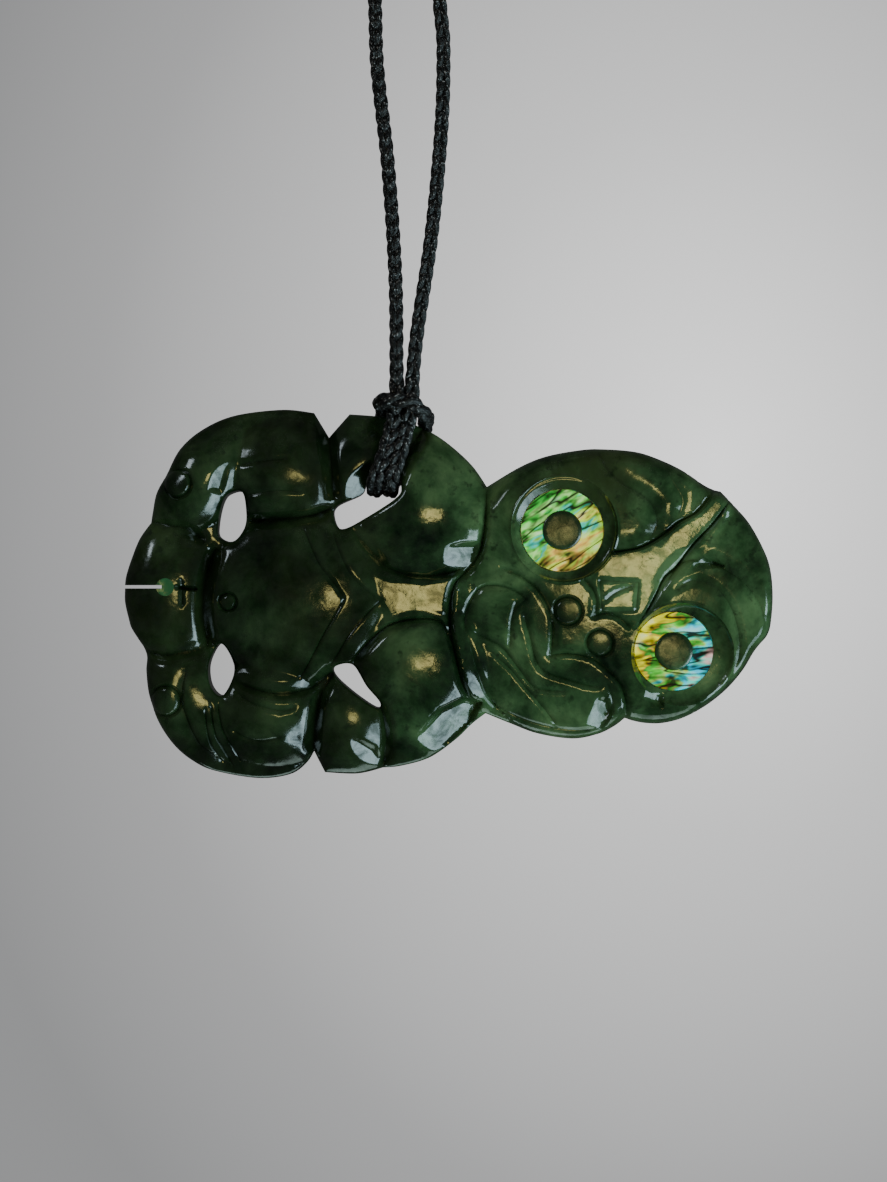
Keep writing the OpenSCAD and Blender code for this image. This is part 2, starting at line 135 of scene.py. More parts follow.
ROUTE_STEP = 0.00034
route = smooth_line(ROUTE, ROUTE_STEP, k=40)
run = distances(route)

# %% [markdown]
# The cord is plaited from four strands. Each strand swings from side to side and dips under the
# others twice in one turn of the plait, so bumps show along both edges.

# %% Strands of the plait
STRANDS = 4
STRAND_R = 0.00053
SIDES = 8
PITCH = 0.0092
SWING = 0.00060
DIP = 0.00040
FIRST_SIDE = (0, 1, 0)
MM_PER_M = 1000


def carried_sides(line):
    """Two vectors across the line at each place, carried along so that nothing twists."""
    ahead = np.gradient(line, axis=0)
    ahead /= np.linalg.norm(ahead, axis=1)[:, None]
    side = np.zeros_like(line)
    last = np.array(FIRST_SIDE, float)
    for i, a in enumerate(ahead):
        last = last - a * (last @ a)
        last /= np.linalg.norm(last)
        side[i] = last
    return side, np.cross(ahead, side)


def tube(line, radius, offset, along):
    """Corners, faces and texture places of one closed tube."""
    side, up = carried_sides(line)
    n = len(line)
    turn = np.linspace(0, 2 * math.pi, SIDES, endpoint=False)
    ring = side[:, None] * np.cos(turn)[None, :, None] + up[:, None] * np.sin(turn)[None, :, None]
    points = (line[:, None] + radius[:, None, None] * ring).reshape(-1, 3)
    faces, uvs = [], []
    for i in range(n - 1):
        for j in range(SIDES):
            k = (j + 1) % SIDES
            a, b = offset + i * SIDES, offset + (i + 1) * SIDES
            faces.append((a + j, a + k, b + k, b + j))
            u0, u1 = j / SIDES, (j + 1) / SIDES
            uvs += [(u0, along[i]), (u1, along[i]), (u1, along[i + 1]), (u0, along[i + 1])]
    for i, order in ((0, range(SIDES - 1, -1, -1)), (n - 1, range(SIDES))):
        faces.append(tuple(offset + i * SIDES + j for j in order))
        uvs += [(0.5, along[i])] * SIDES
    return points, faces, uvs


def ease(t):
    """A soft step from 0 to 1."""
    t = np.clip(t, 0, 1)
    return t * t * (3 - 2 * t)


def make_object(name, points, faces):
    """An object with a smooth mesh, in the scene."""
    mesh = bpy.data.meshes.new(name)
    mesh.from_pydata(points.tolist(), [], faces)
    mesh.polygons.foreach_set("use_smooth", [True] * len(mesh.polygons))
    made = bpy.data.objects.new(name, mesh)
    bpy.context.collection.objects.link(made)
    return made, mesh


# The plait is pressed wider round the arm, most of all where it lies over the two strands.
PRESSED = 0.16
ARM_TOP_Z, ARM_SOFT = -0.192, 0.006
OVER_Y, OVER_SOFT = -0.0045, 0.0014
wider = (1 + PRESSED * ease((ARM_TOP_Z - route[:, 2]) / ARM_SOFT)
         + PRESSED * ease((OVER_Y - route[:, 1]) / OVER_SOFT))
flat, wide = carried_sides(route)
points, faces, uvs = [], [], []
for s in range(STRANDS):
    phase = 2 * math.pi * run / PITCH + s * 2 * math.pi / STRANDS
    strand = (route + (wider * SWING * np.sin(phase))[:, None] * wide
              + (wider * DIP * np.sin(2 * phase))[:, None] * flat)
    p, f, u = tube(strand, wider * STRAND_R, s * len(route) * SIDES, run * MM_PER_M)
    points.append(p)
    faces += f
    uvs += u
cord, mesh = make_object("plaited_cord", np.vstack(points), faces)
mesh.uv_layers.new(name="UVMap")
mesh.uv_layers["UVMap"].data.foreach_set("uv", np.array(uvs, np.float32).ravel())
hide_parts("neck_cord")
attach(cord, "root")
print("plaited cord:", len(mesh.polygons), "faces")

# %% [markdown]
# ## The carved stone
# Places on the stone are in mm: along the figure, and up from its middle line. The outline is a
# list of strokes with corners where strokes meet, so each starts where the one before it ends.
# It goes round against the clock, with the saw slit between the feet as a part of it.

# %% Outline and openings
MIDDLE_Z = -227.0
BACK_Y = 4.5
OUTLINE = [
    [(-14.4, 27.9)],
    [(-19.3, 28.4), (-26.6, 27.5), (-31.5, 25.4), (-35.0, 22.4), (-37.1, 18.5), (-38.7, 15.5),
     (-39.3, 12.6), (-39.6, 10.9)],
    [(-41.3, 8.5), (-42.5, 5.6), (-43.4, 2.8), (-43.6, 1.3)],
    [(-38.2, 1.3)],
    [(-38.2, 0.8)],
    [(-43.6, 0.8)],
    [(-43.6, -1.3), (-43.0, -4.0), (-42.5, -5.5), (-40.8, -8.1)],
    [(-40.2, -9.8), (-40.3, -12.0), (-39.8, -15.9), (-38.3, -20.0), (-35.9, -23.5),
     (-33.0, -25.9), (-29.6, -27.4), (-23.0, -28.5), (-18.1, -27.9), (-15.6, -26.2),
     (-14.4, -24.3)],
    [(-12.7, -27.6)],
    [(-7.7, -27.8), (-3.8, -26.9)],
    [(-0.9, -26.6), (3.5, -25.3), (7.5, -22.5), (10.0, -20.1), (12.1, -18.5)],
    [(15.8, -20.0), (20.1, -21.6), (25.5, -22.4), (29.4, -21.7), (31.9, -20.5), (33.6, -19.2)],
    [(34.7, -19.6), (36.8, -20.0), (39.4, -20.0), (42.5, -19.2), (45.9, -17.4), (49.1, -14.9),
     (51.7, -11.9), (53.4, -9.1), (54.4, -7.8), (55.5, -6.5), (56.1, -4.6), (56.4, -0.3),
     (56.0, 3.9), (54.9, 7.0), (52.8, 10.8), (50.5, 13.5), (48.3, 15.8)],
    [(47.4, 16.0), (45.7, 16.8), (42.3, 19.1), (38.7, 20.8), (35.2, 21.9), (30.5, 22.3),
     (27.0, 22.2), (21.5, 21.2), (17.3, 19.5), (12.3, 16.5)],
    [(10.0, 19.8), (6.4, 23.1), (2.8, 25.4), (-1.1, 26.8), (-4.8, 27.4), (-8.9, 27.7)],
    [(-12.1, 24.1)],
]
SLIT_STROKES = (3, 4, 5)
OPENINGS = [
    [(-27.3, 15.4), (-25.2, 15.4), (-24.9, 10.8), (-26.6, 8.1), (-28.9, 8.7), (-29.1, 10.8),
     (-28.4, 14.0)],
    [(-11.3, 12.1), (-10.6, 13.6), (-7.2, 15.2), (-6.4, 16.5), (-5.6, 18.5), (-1.8, 18.7),
     (-0.9, 16.5), (-1.6, 14.7), (-6.4, 11.6), (-10.1, 9.9)],
    [(-28.8, -7.7), (-27.1, -9.7), (-26.7, -12.5), (-28.4, -15.7), (-30.2, -14.2), (-30.5, -10.8)],
    [(-11.2, -11.3), (-8.4, -10.9), (-6.2, -14.2), (-4.2, -16.6), (-4.6, -17.6), (-7.6, -15.7),
     (-10.8, -12.9)],
]
POCKET = (-37.1, 1.0)
POCKET_R = 1.35
POCKET_WEB = 0.8
OUTLINE_STEP = 0.4
CUT_STEP = 0.35

strokes = [smooth_line(before[-1:] + stroke, OUTLINE_STEP)
           for before, stroke in zip(OUTLINE[-1:] + OUTLINE[:-1], OUTLINE)]
outline = np.vstack([s[:-1] for s in strokes])
holes = []
for loop in OPENINGS:
    line = smooth_line(loop, CUT_STEP, closed=True)
    area = np.sum(line[:, 0] * np.roll(line[:, 1], -1) - np.roll(line[:, 0], -1) * line[:, 1])
    holes.append(line[::-1] if area > 0 else line)
loops = [outline] + holes
print("outline:", len(outline), "places; openings:", [len(h) for h in holes])

# %% [markdown]
# ## The relief
# The relief starts from rounded masses, one for each part of the body. Each row has its centre,
# half length and half width, turn in degrees, and the heights of its top and its foot above the
# back of the stone.

# %% Masses, flats, cuts and rings
MASSES = [
    ((37.3, 0.5), 30.0, 28.5, 0, 9.3, 6.4),
    ((23.0, 10.6), 11.0, 11.0, 0, 8.8, 7.0),
    ((-12.4, -1.0), (19.5, 11.4), 14.4, 0, 9.3, 6.0),
    ((3.1, 12.6), 12.0, 12.2, 0, 9.3, 5.4),
    ((1.7, -11.5), 13.0, 13.5, 0, 9.3, 5.4),
    ((-18.3, 18.6), 10.0, 8.5, 0, 8.7, 5.6),
    ((-20.7, -18.2), 10.0, 8.5, 0, 8.7, 5.6),
    ((-32.1, 18.3), (9.0, 6.5), 10.5, -30, 8.7, 5.6),
    ((-34.2, -17.0), 9.0, 10.5, 30, 7.9, 5.6),
    ((-37.1, 0.2), 8.0, 10.5, 0, 7.7, 5.6),
    ((-8.4, 20.8), 6.5, 8.5, 0, 7.7, 5.6),
    ((-8.9, -19.7), 7.0, 8.8, 0, 8.5, 5.6),
    ((0.5, -0.7), 12.0, 9.0, 0, 8.1, 6.2),
]
# Flat polished places: height, soft edge, and the corners of the patch.
FLATS = [
    (9.35, 0.7,
     [(50.3, 14.2), (47.1, 15.2), (44.6, 12.6), (41.7, 10.9), (38.7, 8.6), (35.7, 7.0),
      (31.4, 6.3), (28.7, 3.6), (28.4, -2.9), (36.3, -3.6), (39.1, -0.9), (40.5, 1.7),
      (42.3, 3.6), (44.9, 6.8), (47.9, 10.0)]),
    (8.1, 0.5,
     [(-5.5, 3.4), (-2.5, 2.2), (2.6, 1.7), (8.6, 3.0), (7.1, -0.6), (6.0, -3.3), (0.2, -2.7),
      (-2.8, -3.6), (-4.0, -1.2)]),
]
# Both edges of the band between the eyes are cut twice: a wide cut, then a narrow one.
BAND_UPPER = [(47.5, 16.2), (44.6, 12.6), (41.7, 10.9), (38.7, 8.6), (35.7, 7.0), (33.0, 6.5),
              (30.8, 6.0), (29.0, 4.2)]
BAND_LOWER = [(49.7, 14.6), (46.9, 10.9), (43.9, 7.7), (41.3, 4.3), (39.4, 2.5), (38.0, -0.3),
              (36.7, -2.7), (35.3, -4.7)]
# Cuts: depth, width on the left and on the right of the way it goes, sharpness, and the line.
CUTS = [
    (1.3, 0.8, 1.0, 1.5,
     [(12.3, 16.3), (12.1, 12.8), (11.8, 9.4), (11.2, 6.3), (9.7, 3.9), (7.5, 1.7), (6.6, -1.6),
      (6.6, -5.6), (7.4, -9.5), (8.6, -14.2), (10.3, -16.8), (12.1, -18.7)]),
    (1.0, 1.6, 0.8, 1.5,
     [(-8.4, 10.2), (-7.2, 8.2), (-5.4, 6.2), (-2.5, 3.7), (2.0, 2.7), (6.4, 3.1), (10.0, 4.8)]),
    (1.0, 0.5, 1.6, 1.5,
     [(-9.0, -11.5), (-6.0, -7.6), (-2.5, -4.7), (2.0, -3.8), (5.2, -4.4), (6.7, -7.2)]),
    (0.25, 0.4, 0.4, 1.2, [(-16.0, 10.2), (-13.6, 4.8), (-11.2, 1.6), (-9.5, -0.9)]),
    (0.3, 0.4, 0.15, 1.2, [(-9.5, -0.6), (-12.7, -6.1), (-15.3, -11.0), (-16.7, -13.1)]),
    (0.25, 0.4, 0.4, 1.2, [(-11.5, 9.6), (-10.3, 6.3), (-8.3, 2.5), (-4.1, -1.3)]),
    (0.3, 0.4, 0.15, 1.2, [(-4.1, -1.0), (-8.3, -5.5), (-10.7, -9.3), (-12.4, -12.1)]),
    (1.3, 2.2, 1.2, 1.5,
     [(-11.5, 13.4), (-14.0, 12.2), (-17.9, 11.7), (-22.2, 11.4), (-25.0, 11.1)]),
    (1.3, 2.2, 1.2, 1.5,
     [(-26.8, -13.0), (-24.1, -14.5), (-19.5, -15.4), (-14.9, -14.5), (-10.9, -11.5)]),
    (1.8, 2.2, 1.6, 1.5,
     [(-29.4, 7.1), (-30.8, 3.3), (-31.4, -0.6), (-31.3, -4.2), (-30.7, -8.4)]),
    (1.6, 1.5, 2.0, 1.5, [(-12.1, 24.4), (-11.7, 19.7), (-11.3, 14.3)]),
    (1.6, 2.0, 1.4, 1.5, [(-14.4, -24.5), (-14.0, -19.7), (-13.2, -15.6), (-11.0, -11.3)]),
    (0.35, 0.6, 0.6, 1.2, [(-25.9, 19.7), (-22.2, 20.3), (-18.1, 20.7)]),
    (0.35, 0.6, 0.6, 1.2, [(-25.4, 14.8), (-22.2, 15.5), (-19.3, 15.8), (-15.6, 15.5)]),
    (0.35, 0.6, 0.6, 1.2,
     [(-26.4, -15.0), (-24.8, -16.2), (-23.0, -17.1), (-19.3, -17.9), (-16.9, -17.4)]),
    (0.35, 0.6, 0.6, 1.2, [(-27.1, -20.8), (-24.2, -22.3), (-21.8, -22.5), (-19.3, -22.0)]),
    (0.5, 0.5, 2.2, 1.4,
     [(-33.9, -11.5), (-34.5, -14.5), (-34.4, -17.3), (-33.4, -20.3), (-32.5, -22.2),
      (-31.4, -23.7), (-27.3, -26.6)]),
    (0.25, 0.25, 0.12, 1.1,
     [(-30.1, -16.9), (-29.9, -19.4), (-29.3, -22.0), (-28.1, -24.2), (-26.7, -26.8)]),
    (0.25, 0.25, 0.12, 1.1,
     [(-29.1, -16.4), (-28.8, -18.8), (-28.2, -21.3), (-26.8, -23.7), (-25.6, -25.9)]),
    (0.25, 0.25, 0.12, 1.1, [(-31.0, -17.6), (-30.8, -20.2), (-30.1, -23.3), (-28.5, -25.9)]),
    (1.1, 1.6, 1.6, 1.6, [(-39.7, 11.1), (-37.0, 10.6), (-34.0, 10.0), (-31.1, 7.9)]),
    (1.1, 1.6, 1.6, 1.6, [(-41.0, -8.4), (-37.9, -9.5), (-34.8, -9.2), (-31.3, -8.4)]),
    (1.2, 0.45, 0.45, 1.1, [(-35.3, 1.0), (-33.7, 0.8), (-32.2, 0.7)]),
    (0.3, 0.35, 0.35, 1.1, [(-34.7, 2.3), (-34.5, 0.5), (-34.5, -2.1)]),
    (1.8, 2.2, 4.0, 1.5, [(3.2, 26.6), (1.1, 23.5), (-0.8, 20.1), (-2.9, 15.5)]),
    (1.2, 1.8, 1.0, 1.5, [(-4.3, -16.4), (-3.5, -19.4), (-3.2, -22.8), (-3.8, -27.1)]),
    (0.5, 0.4, 3.2, 1.6, BAND_UPPER),
    (0.5, 0.3, 0.4, 1.2, BAND_UPPER),
    (0.9, 2.6, 0.15, 1.5, BAND_LOWER),
    (0.4, 0.3, 0.25, 1.1, BAND_LOWER),
    (0.4, 2.2, 0.35, 1.25,
     [(39.1, 0.5), (41.3, 3.9), (43.4, 5.1), (46.5, 4.8), (49.2, 3.4), (51.7, 1.6),
      (53.7, -1.0), (54.8, -4.2), (54.4, -6.4)]),
    (0.35, 1.2, 1.2, 1.7,
     [(40.6, 0.2), (43.4, 2.0), (46.5, 1.3), (49.1, -1.3), (50.6, -5.3), (50.8, -9.5),
      (49.2, -13.8), (46.2, -16.7)]),
    (0.6, 3.0, 3.0, 1.9,
     [(29.1, 22.4), (30.5, 19.2), (33.0, 16.8), (35.7, 15.2), (37.7, 13.2), (38.2, 10.6),
      (37.0, 8.0)]),
    (0.35, 2.2, 2.2, 2.0, [(39.4, 20.4), (40.6, 17.4), (42.2, 14.3), (41.3, 11.6)]),
    (0.7, 1.2, 0.6, 1.6,
     [(14.3, 4.0), (17.1, 2.8), (20.1, 0.4), (22.1, -3.5), (22.2, -7.8), (21.8, -9.9)]),
    (0.7, 1.2, 0.6, 1.6,
     [(21.6, -9.6), (24.4, -9.2), (27.9, -9.8), (30.8, -11.9), (32.8, -14.2), (33.6, -17.4),
      (33.3, -19.7)]),
    (0.5, 0.5, 1.2, 1.6,
     [(8.9, -6.2), (9.0, -3.0), (10.9, 0.6), (13.5, 1.3), (16.3, 0.5), (18.6, -1.2)]),
    (0.4, 0.9, 0.6, 1.5,
     [(8.9, -5.0), (10.0, -8.7), (11.5, -13.8), (13.2, -16.7), (17.2, -19.0), (22.2, -20.5),
      (26.5, -21.0), (29.8, -20.3), (31.1, -18.5), (31.4, -16.4), (30.8, -14.2)]),
    (0.5, 0.9, 0.7, 1.5,
     [(17.8, -2.9), (18.9, -7.0), (19.6, -9.9), (21.0, -11.9), (24.4, -13.1), (27.9, -14.1),
      (30.1, -14.2)]),
    (0.45, 0.7, 0.8, 1.5,
     [(24.7, -15.0), (20.7, -14.7), (18.9, -13.8), (16.7, -11.0), (14.3, -8.1), (10.1, -5.9)]),
    (0.35, 0.7, 0.5, 1.4, [(16.8, -0.9), (16.0, -4.1), (15.7, -8.5)]),
    (0.35, 0.7, 0.5, 1.4,
     [(12.7, -8.8), (15.8, -11.6), (17.9, -14.1), (21.2, -17.9), (23.2, -20.8)]),
    (0.5, 0.6, 0.6, 1.2, [(26.2, 3.0), (28.3, 0.8), (29.0, -1.2), (28.7, -3.3)]),
    (0.5, 0.6, 0.6, 1.2, [(28.1, -3.6), (30.1, -3.0), (32.2, -3.5), (34.2, -5.3)]),
    (0.2, 0.35, 0.35, 1.1, [(29.3, 2.1), (35.6, 1.7)]),
    (0.2, 0.35, 0.35, 1.1, [(35.4, 1.9), (35.0, -2.7)]),
    (0.2, 0.35, 0.35, 1.1, [(35.1, -2.6), (29.6, -2.9)]),
    (0.2, 0.35, 0.35, 1.1, [(29.8, -3.0), (29.4, 2.2)]),
    (0.3, 0.8, 0.5, 1.3, [(30.1, -1.3), (31.9, 0.2), (34.7, 1.3)]),
]
# Facets ground towards the lower right: the share of the patch that stays untouched, and its
# edge. All lean alike: how far they fall to the right and downwards, for each mm.
FACETS = [
    (0.50,
     [(-26.1, 25.0), (-28.1, 22.4), (-29.4, 19.5), (-30.1, 16.0), (-28.5, 15.4), (-27.5, 19.2),
      (-26.4, 22.3)]),
    (0.12, [(-10.7, 14.5), (-10.0, 16.6), (-8.4, 18.1), (-5.5, 20.0), (-4.4, 16.2), (-7.2, 14.6)]),
    (0.15, [(4.8, 7.0), (8.4, 7.6), (10.9, 7.7), (10.1, 4.7), (6.6, 3.1)]),
    (0.15,
     [(-0.6, -24.6), (2.0, -21.4), (5.1, -17.9), (8.9, -16.1), (11.3, -16.8), (9.7, -20.0),
      (6.6, -22.8), (2.8, -25.3)]),
    (0.30,
     [(25.2, -18.8), (26.5, -17.6), (28.1, -18.4), (29.1, -16.2), (30.4, -15.9), (31.4, -18.2),
      (29.8, -20.5), (26.7, -20.5)]),
    (0.30,
     [(41.9, 3.9), (44.5, 5.4), (46.8, 5.1), (48.2, 4.2), (46.6, 4.3), (44.6, 4.2), (42.5, 2.8)]),
    (0.20,
     [(-9.7, -22.3), (-7.5, -22.2), (-5.1, -23.7), (-3.4, -26.3), (-6.3, -26.3), (-8.7, -24.6)]),
    (0.30,
     [(35.7, -13.6), (37.7, -15.1), (39.1, -15.6), (39.0, -17.1), (37.3, -16.7), (35.3, -14.5)]),
]
LEAN = (0.475, 0.297)
# Rings cut round small bosses: centre, radius, half width and depth.
RINGS = [
    ((24.6, -2.7), 2.15, 0.5, 0.5),
    ((29.5, -7.6), 1.97, 0.5, 0.5),
    ((-27.5, -1.3), 1.3, 0.4, 0.45),
    ((-35.3, 16.9), 2.15, 0.5, 0.5),
    ((-37.1, -16.5), 2.3, 0.5, 0.5),
]
# Eyes: centre, centre of the hollow round it, outer radius of the shell ring, core radius.
EYES = [
    ((23.8, 9.7), (24.1, 9.9), 6.3, 3.0),
    ((40.9, -8.8), (42.2, -9.3), 6.0, 2.9),
]
RING_FACE = 7.6
print(len(MASSES), "masses,", len(CUTS), "cuts,", len(RINGS), "rings and", len(EYES), "eyes")

# %% [markdown]
# The height of the front is worked out at any place from these tables. A few small functions
# measure how far a place is from a line, on which side of it, and how far along.

# %% Measuring helpers
FAR = 1e9


def nearest(x, z, line, closed=False):
    """Distance, side (+1 on the left) and share along the line, for each place."""
    ends = np.vstack([line, line[:1]]) if closed else line
    best = np.full(len(x), FAR)
    side = np.zeros(len(x))
    share = np.zeros(len(x))
    gone = 0.0
    for (ax, az), (bx, bz) in zip(ends[:-1], ends[1:]):
        dx, dz = bx - ax, bz - az
        long = math.hypot(dx, dz) or 1e-9
        t = np.clip(((x - ax) * dx + (z - az) * dz) / long ** 2, 0, 1)
        ex, ez = x - ax - t * dx, z - az - t * dz
        gap = ex * ex + ez * ez
        near = gap < best
        best[near] = gap[near]
        side[near] = np.sign(dx * ez - dz * ex)[near]
        share[near] = (gone + t * long)[near]
        gone += long
    return np.sqrt(best), side, share / gone


def inside(x, z, line):
    """True where a place lies inside the closed line."""
    odd = np.zeros(len(x), bool)
    for (ax, az), (bx, bz) in zip(line, np.roll(line, -1, axis=0)):
        if az != bz:
            odd ^= ((az > z) != (bz > z)) & (x < ax + (z - az) * (bx - ax) / (bz - az))
    return odd


def gap_inside(x, z, patch):
    """Distance from the edge of a patch, below zero outside it."""
    gap = nearest(x, z, np.array(patch), closed=True)[0]
    return np.where(inside(x, z, patch), gap, -gap)


def soft_max(a, b, k):
    """The larger of two heights, with a soft change over a width k."""
    t = np.clip(0.5 + 0.5 * (a - b) / k, 0, 1)
    return b + (a - b) * t + k * t * (1 - t)


cut_lines = [smooth_line(c[4], CUT_STEP) for c in CUTS]
rim_lines = [s for i, s in enumerate(strokes) if i not in SLIT_STROKES]
slit_line = np.vstack([strokes[i] for i in SLIT_STROKES])
print("cut length:", round(sum(len(c) for c in cut_lines) * CUT_STEP), "mm")

# %% [markdown]
# The height of the front is built up in steps. First come the masses, which run softly into each
# other, the flat places, and the rim, towards which the front falls away.

# %% Masses, flats and rim
GROUND = 5.6
MASS_CURVE, MASS_BLEND = 0.7, 0.35
# The rim: its height and width, and how it narrows: by how much, from where, and over how far.
RIM_T = 4.4
RIM_W = 7.5
RIM_NARROWS = [(3.2, -31, -9), (4.9, 10, 6), (1.0, 38, 6)]


def fade(gap, soft):
    """From 0 to 1 across an edge that is soft on both sides."""
    return ease((gap + soft) / (2 * soft))


def arc(t):
    """A quarter circle, from 0 to 1."""
    return np.sqrt(1 - (1 - np.clip(t, 0, 1)) ** 2)


def rim_gap(x, z):
    """Distance from the outline, the slit left out."""
    gap = np.full(len(x), FAR)
    for s in rim_lines:
        gap = np.minimum(gap, nearest(x, z, s)[0])
    return gap


def masses(x, z):
    """Height of the masses and the flat places."""
    h = np.full(len(x), GROUND)
    for (cx, cz), long, wide, turn, top, foot in MASSES:
        c, s = math.cos(math.radians(turn)), math.sin(math.radians(turn))
        u = (x - cx) * c + (z - cz) * s
        u /= np.where(u < 0, long[0], long[1]) if isinstance(long, tuple) else long
        v = ((z - cz) * c - (x - cx) * s) / wide
        q = np.clip(1 - (u * u + v * v), 0, 1)
        mass = np.where(q > 0, foot + (top - foot) * q ** MASS_CURVE, 0)
        h = soft_max(h, mass, MASS_BLEND)
    for top, soft, patch in FLATS:
        h += (top - h) * fade(gap_inside(x, z, patch), soft)
    return h


def rounded_rim(x, z, h):
    """The height with its fall towards the outline."""
    across = np.full(len(x), RIM_W)
    for less, start, over in RIM_NARROWS:
        across -= less * ease((x - start) / over)
    return RIM_T + (h - RIM_T) * arc(rim_gap(x, z) / across)


print(len(FLATS), "flats on", len(MASSES), "masses")

# %% [markdown]
# Then the cuts and the rings round the bosses are taken out, and every edge is rounded. How deep
# a place is cut is kept as well, as painted shade that darkens the stone's colour there.

# %% Cuts, bosses and edges
# A cut runs out over the last eighth of its length at both ends.
CUT_ENDS, CUT_LEAST = 8, 0.02
# Painted shade darkens the colour: its reach beside a cut, its most in a cut, its least on a boss.
CUT_SHADE_W, CUT_SHADE = 0.35, 0.6
BOSS_TOP, BOSS_SHARP, BOSS_SHADE = 0.13, 1.2, 0.3
RIM_R, SLIT_R, HOLE_R = 0.6, 0.15, 0.45
HOLE_DISH, HOLE_DISH_W = 0.4, 2.0


def carve_cuts(x, z, h, painted_shade):
    """Takes the cuts out of the height and paints shade into them, both in place."""
    for (depth, left, right, sharp, _), line in zip(CUTS, cut_lines):
        reach = max(left, right)
        low, high = line.min(0) - reach, line.max(0) + reach
        rows = np.flatnonzero((x > low[0]) & (x < high[0]) & (z > low[1]) & (z < high[1]))
        if not len(rows):
            continue
        gap, side, share = nearest(x[rows], z[rows], line)
        width = np.where(side > 0, left, right)
        ends = np.sqrt(np.clip(np.minimum(share, 1 - share) * CUT_ENDS, CUT_LEAST, 1))
        t = np.clip(1 - gap / width, 0, 1)
        h[rows] -= depth * ends * t ** sharp
        shade = np.clip(1 - gap / CUT_SHADE_W, 0, 1)
        painted_shade[rows] += np.minimum(depth, CUT_SHADE) * ends * shade


def carve_bosses(x, z, h, painted_shade):
    """Cuts a ring round each boss, which itself rises a little, and paints shade on both."""
    for (cx, cz), radius, width, depth in RINGS:
        gap = np.hypot(x - cx, z - cz)
        t = np.clip(1 - np.abs(gap - radius) / width, 0, 1)
        h -= depth * t ** BOSS_SHARP
        h += BOSS_TOP * np.clip(1 - (gap / radius) ** 2, 0, 1)
        painted_shade += CUT_SHADE * depth * t
        np.copyto(painted_shade, np.maximum(painted_shade, BOSS_SHADE), where=gap < radius - width / 2)


def edge_drop(gap, r):
    """How far a rounded edge lies below the face, for places at this gap from it."""
    return r * (1 - arc(gap / r))


def round_edges(x, z, h):
    """Dishes the stone round each opening and rounds all its edges."""
    for hole in holes:
        gap = nearest(x, z, hole, closed=True)[0]
        h -= HOLE_DISH * (1 - arc(gap / HOLE_DISH_W)) + edge_drop(gap, HOLE_R)
    h -= edge_drop(rim_gap(x, z), RIM_R)
    h -= edge_drop(nearest(x, z, slit_line)[0], SLIT_R)


print("deepest cut:", max(c[0] for c in CUTS), "mm")

# %% [markdown]
# Each eye lies in a round hollow, a little off the middle of its ring, with a fine lip. The ring
# has a flat bed, and the stone core stands up through it.

# %% Hollows of the eyes
# The hollow: width of its wall, its rise, its rise to the upper left and at its edge.
WALL_W = 1.85
RISE, RISE_LEFT, RISE_EDGE = 0.42, 0.62, 0.8
UPPER_LEFT = (-0.84, 0.54)
HOLLOW_END, HOLLOW_BLEND = 1.39, 0.08
LIP_AT, LIP_W, LIP_H = 1.03, 0.05, 0.13
RING_BED, RING_CLEAR = 1.25, 0.06
CORE_PROUD, CORE_DOME, CORE_SHADE = 0.4, 0.014, 0.7
CORE_BEVEL, CORE_BEVEL_W = 0.14, 0.35


def hollow_eyes(x, z, h, painted_shade):
    """Shapes the hollow, the bed of the ring and the core of each eye."""
    for eye, socket, ring_r, core_r in EYES:
        r = np.hypot(x - eye[0], z - eye[1])
        r_safe = np.maximum(r, 1e-6)
        shift = np.array(socket) - np.array(eye)
        away = ((x - eye[0]) * shift[0] + (z - eye[1]) * shift[1]) / r_safe
        rim = away + np.sqrt((ring_r + WALL_W) ** 2 - shift @ shift + away ** 2)
        t = np.clip((r - ring_r) / (rim - ring_r), 0, 2)
        left = ease(0.5 + (UPPER_LEFT[1] * (z - eye[1]) + UPPER_LEFT[0] * (x - eye[0])) / r_safe)
        bowl = RING_FACE + (RISE + RISE_LEFT * left) * t + RISE_EDGE * t ** 8
        np.copyto(h, -soft_max(-h, -bowl, HOLLOW_BLEND), where=t < HOLLOW_END)
        h += LIP_H * np.exp(-((t - LIP_AT) / LIP_W) ** 2)
        h[r < ring_r + RING_CLEAR] = RING_FACE - RING_BED
        bevel = np.clip((r - core_r + CORE_BEVEL_W) / CORE_BEVEL_W, 0, 1)
        core = RING_FACE + CORE_PROUD - CORE_DOME * r ** 2 - CORE_BEVEL * bevel ** 2
        np.copyto(h, core, where=r < core_r + 0.01)
        # The core of the eye gets painted shade.
        painted_shade[r < core_r] = CORE_SHADE


print("ring beds at", RING_FACE - RING_BED, "mm")

# %% [markdown]
# Polishing leaves small flat facets, and the pocket at the foot keeps a thin web of stone.

# %% Facets, pocket and the whole height
FACET_SOFT = 0.5
POCKET_SOFT = 0.06
THINNEST = 0.6


def grind_facets(x, z, h):
    """Lowers what stands above the plane of each facet."""
    for share, patch in FACETS:
        gap = gap_inside(x, z, patch)
        middle = np.mean(patch, axis=0)
        lean = LEAN[1] * (z - middle[1]) - LEAN[0] * (x - middle[0])
        level = float(np.quantile((h - lean)[gap > 0], share))
        h += (np.minimum(h, level + lean) - h) * fade(gap, FACET_SOFT)


def height(x, z):
    """Height of the front, its painted shade, and where it is a thin web."""
    h = rounded_rim(x, z, masses(x, z))
    painted_shade = np.zeros(len(x))
    carve_cuts(x, z, h, painted_shade)
    carve_bosses(x, z, h, painted_shade)
    round_edges(x, z, h)
    hollow_eyes(x, z, h, painted_shade)
    grind_facets(x, z, h)
    step = POCKET_R - np.hypot(x - POCKET[0], z - POCKET[1])
    thin = ease((step + 0.02) / POCKET_SOFT)
    h += (POCKET_WEB - h) * thin
    return np.maximum(h, THINNEST), painted_shade, thin


print(len(FACETS), "facets")

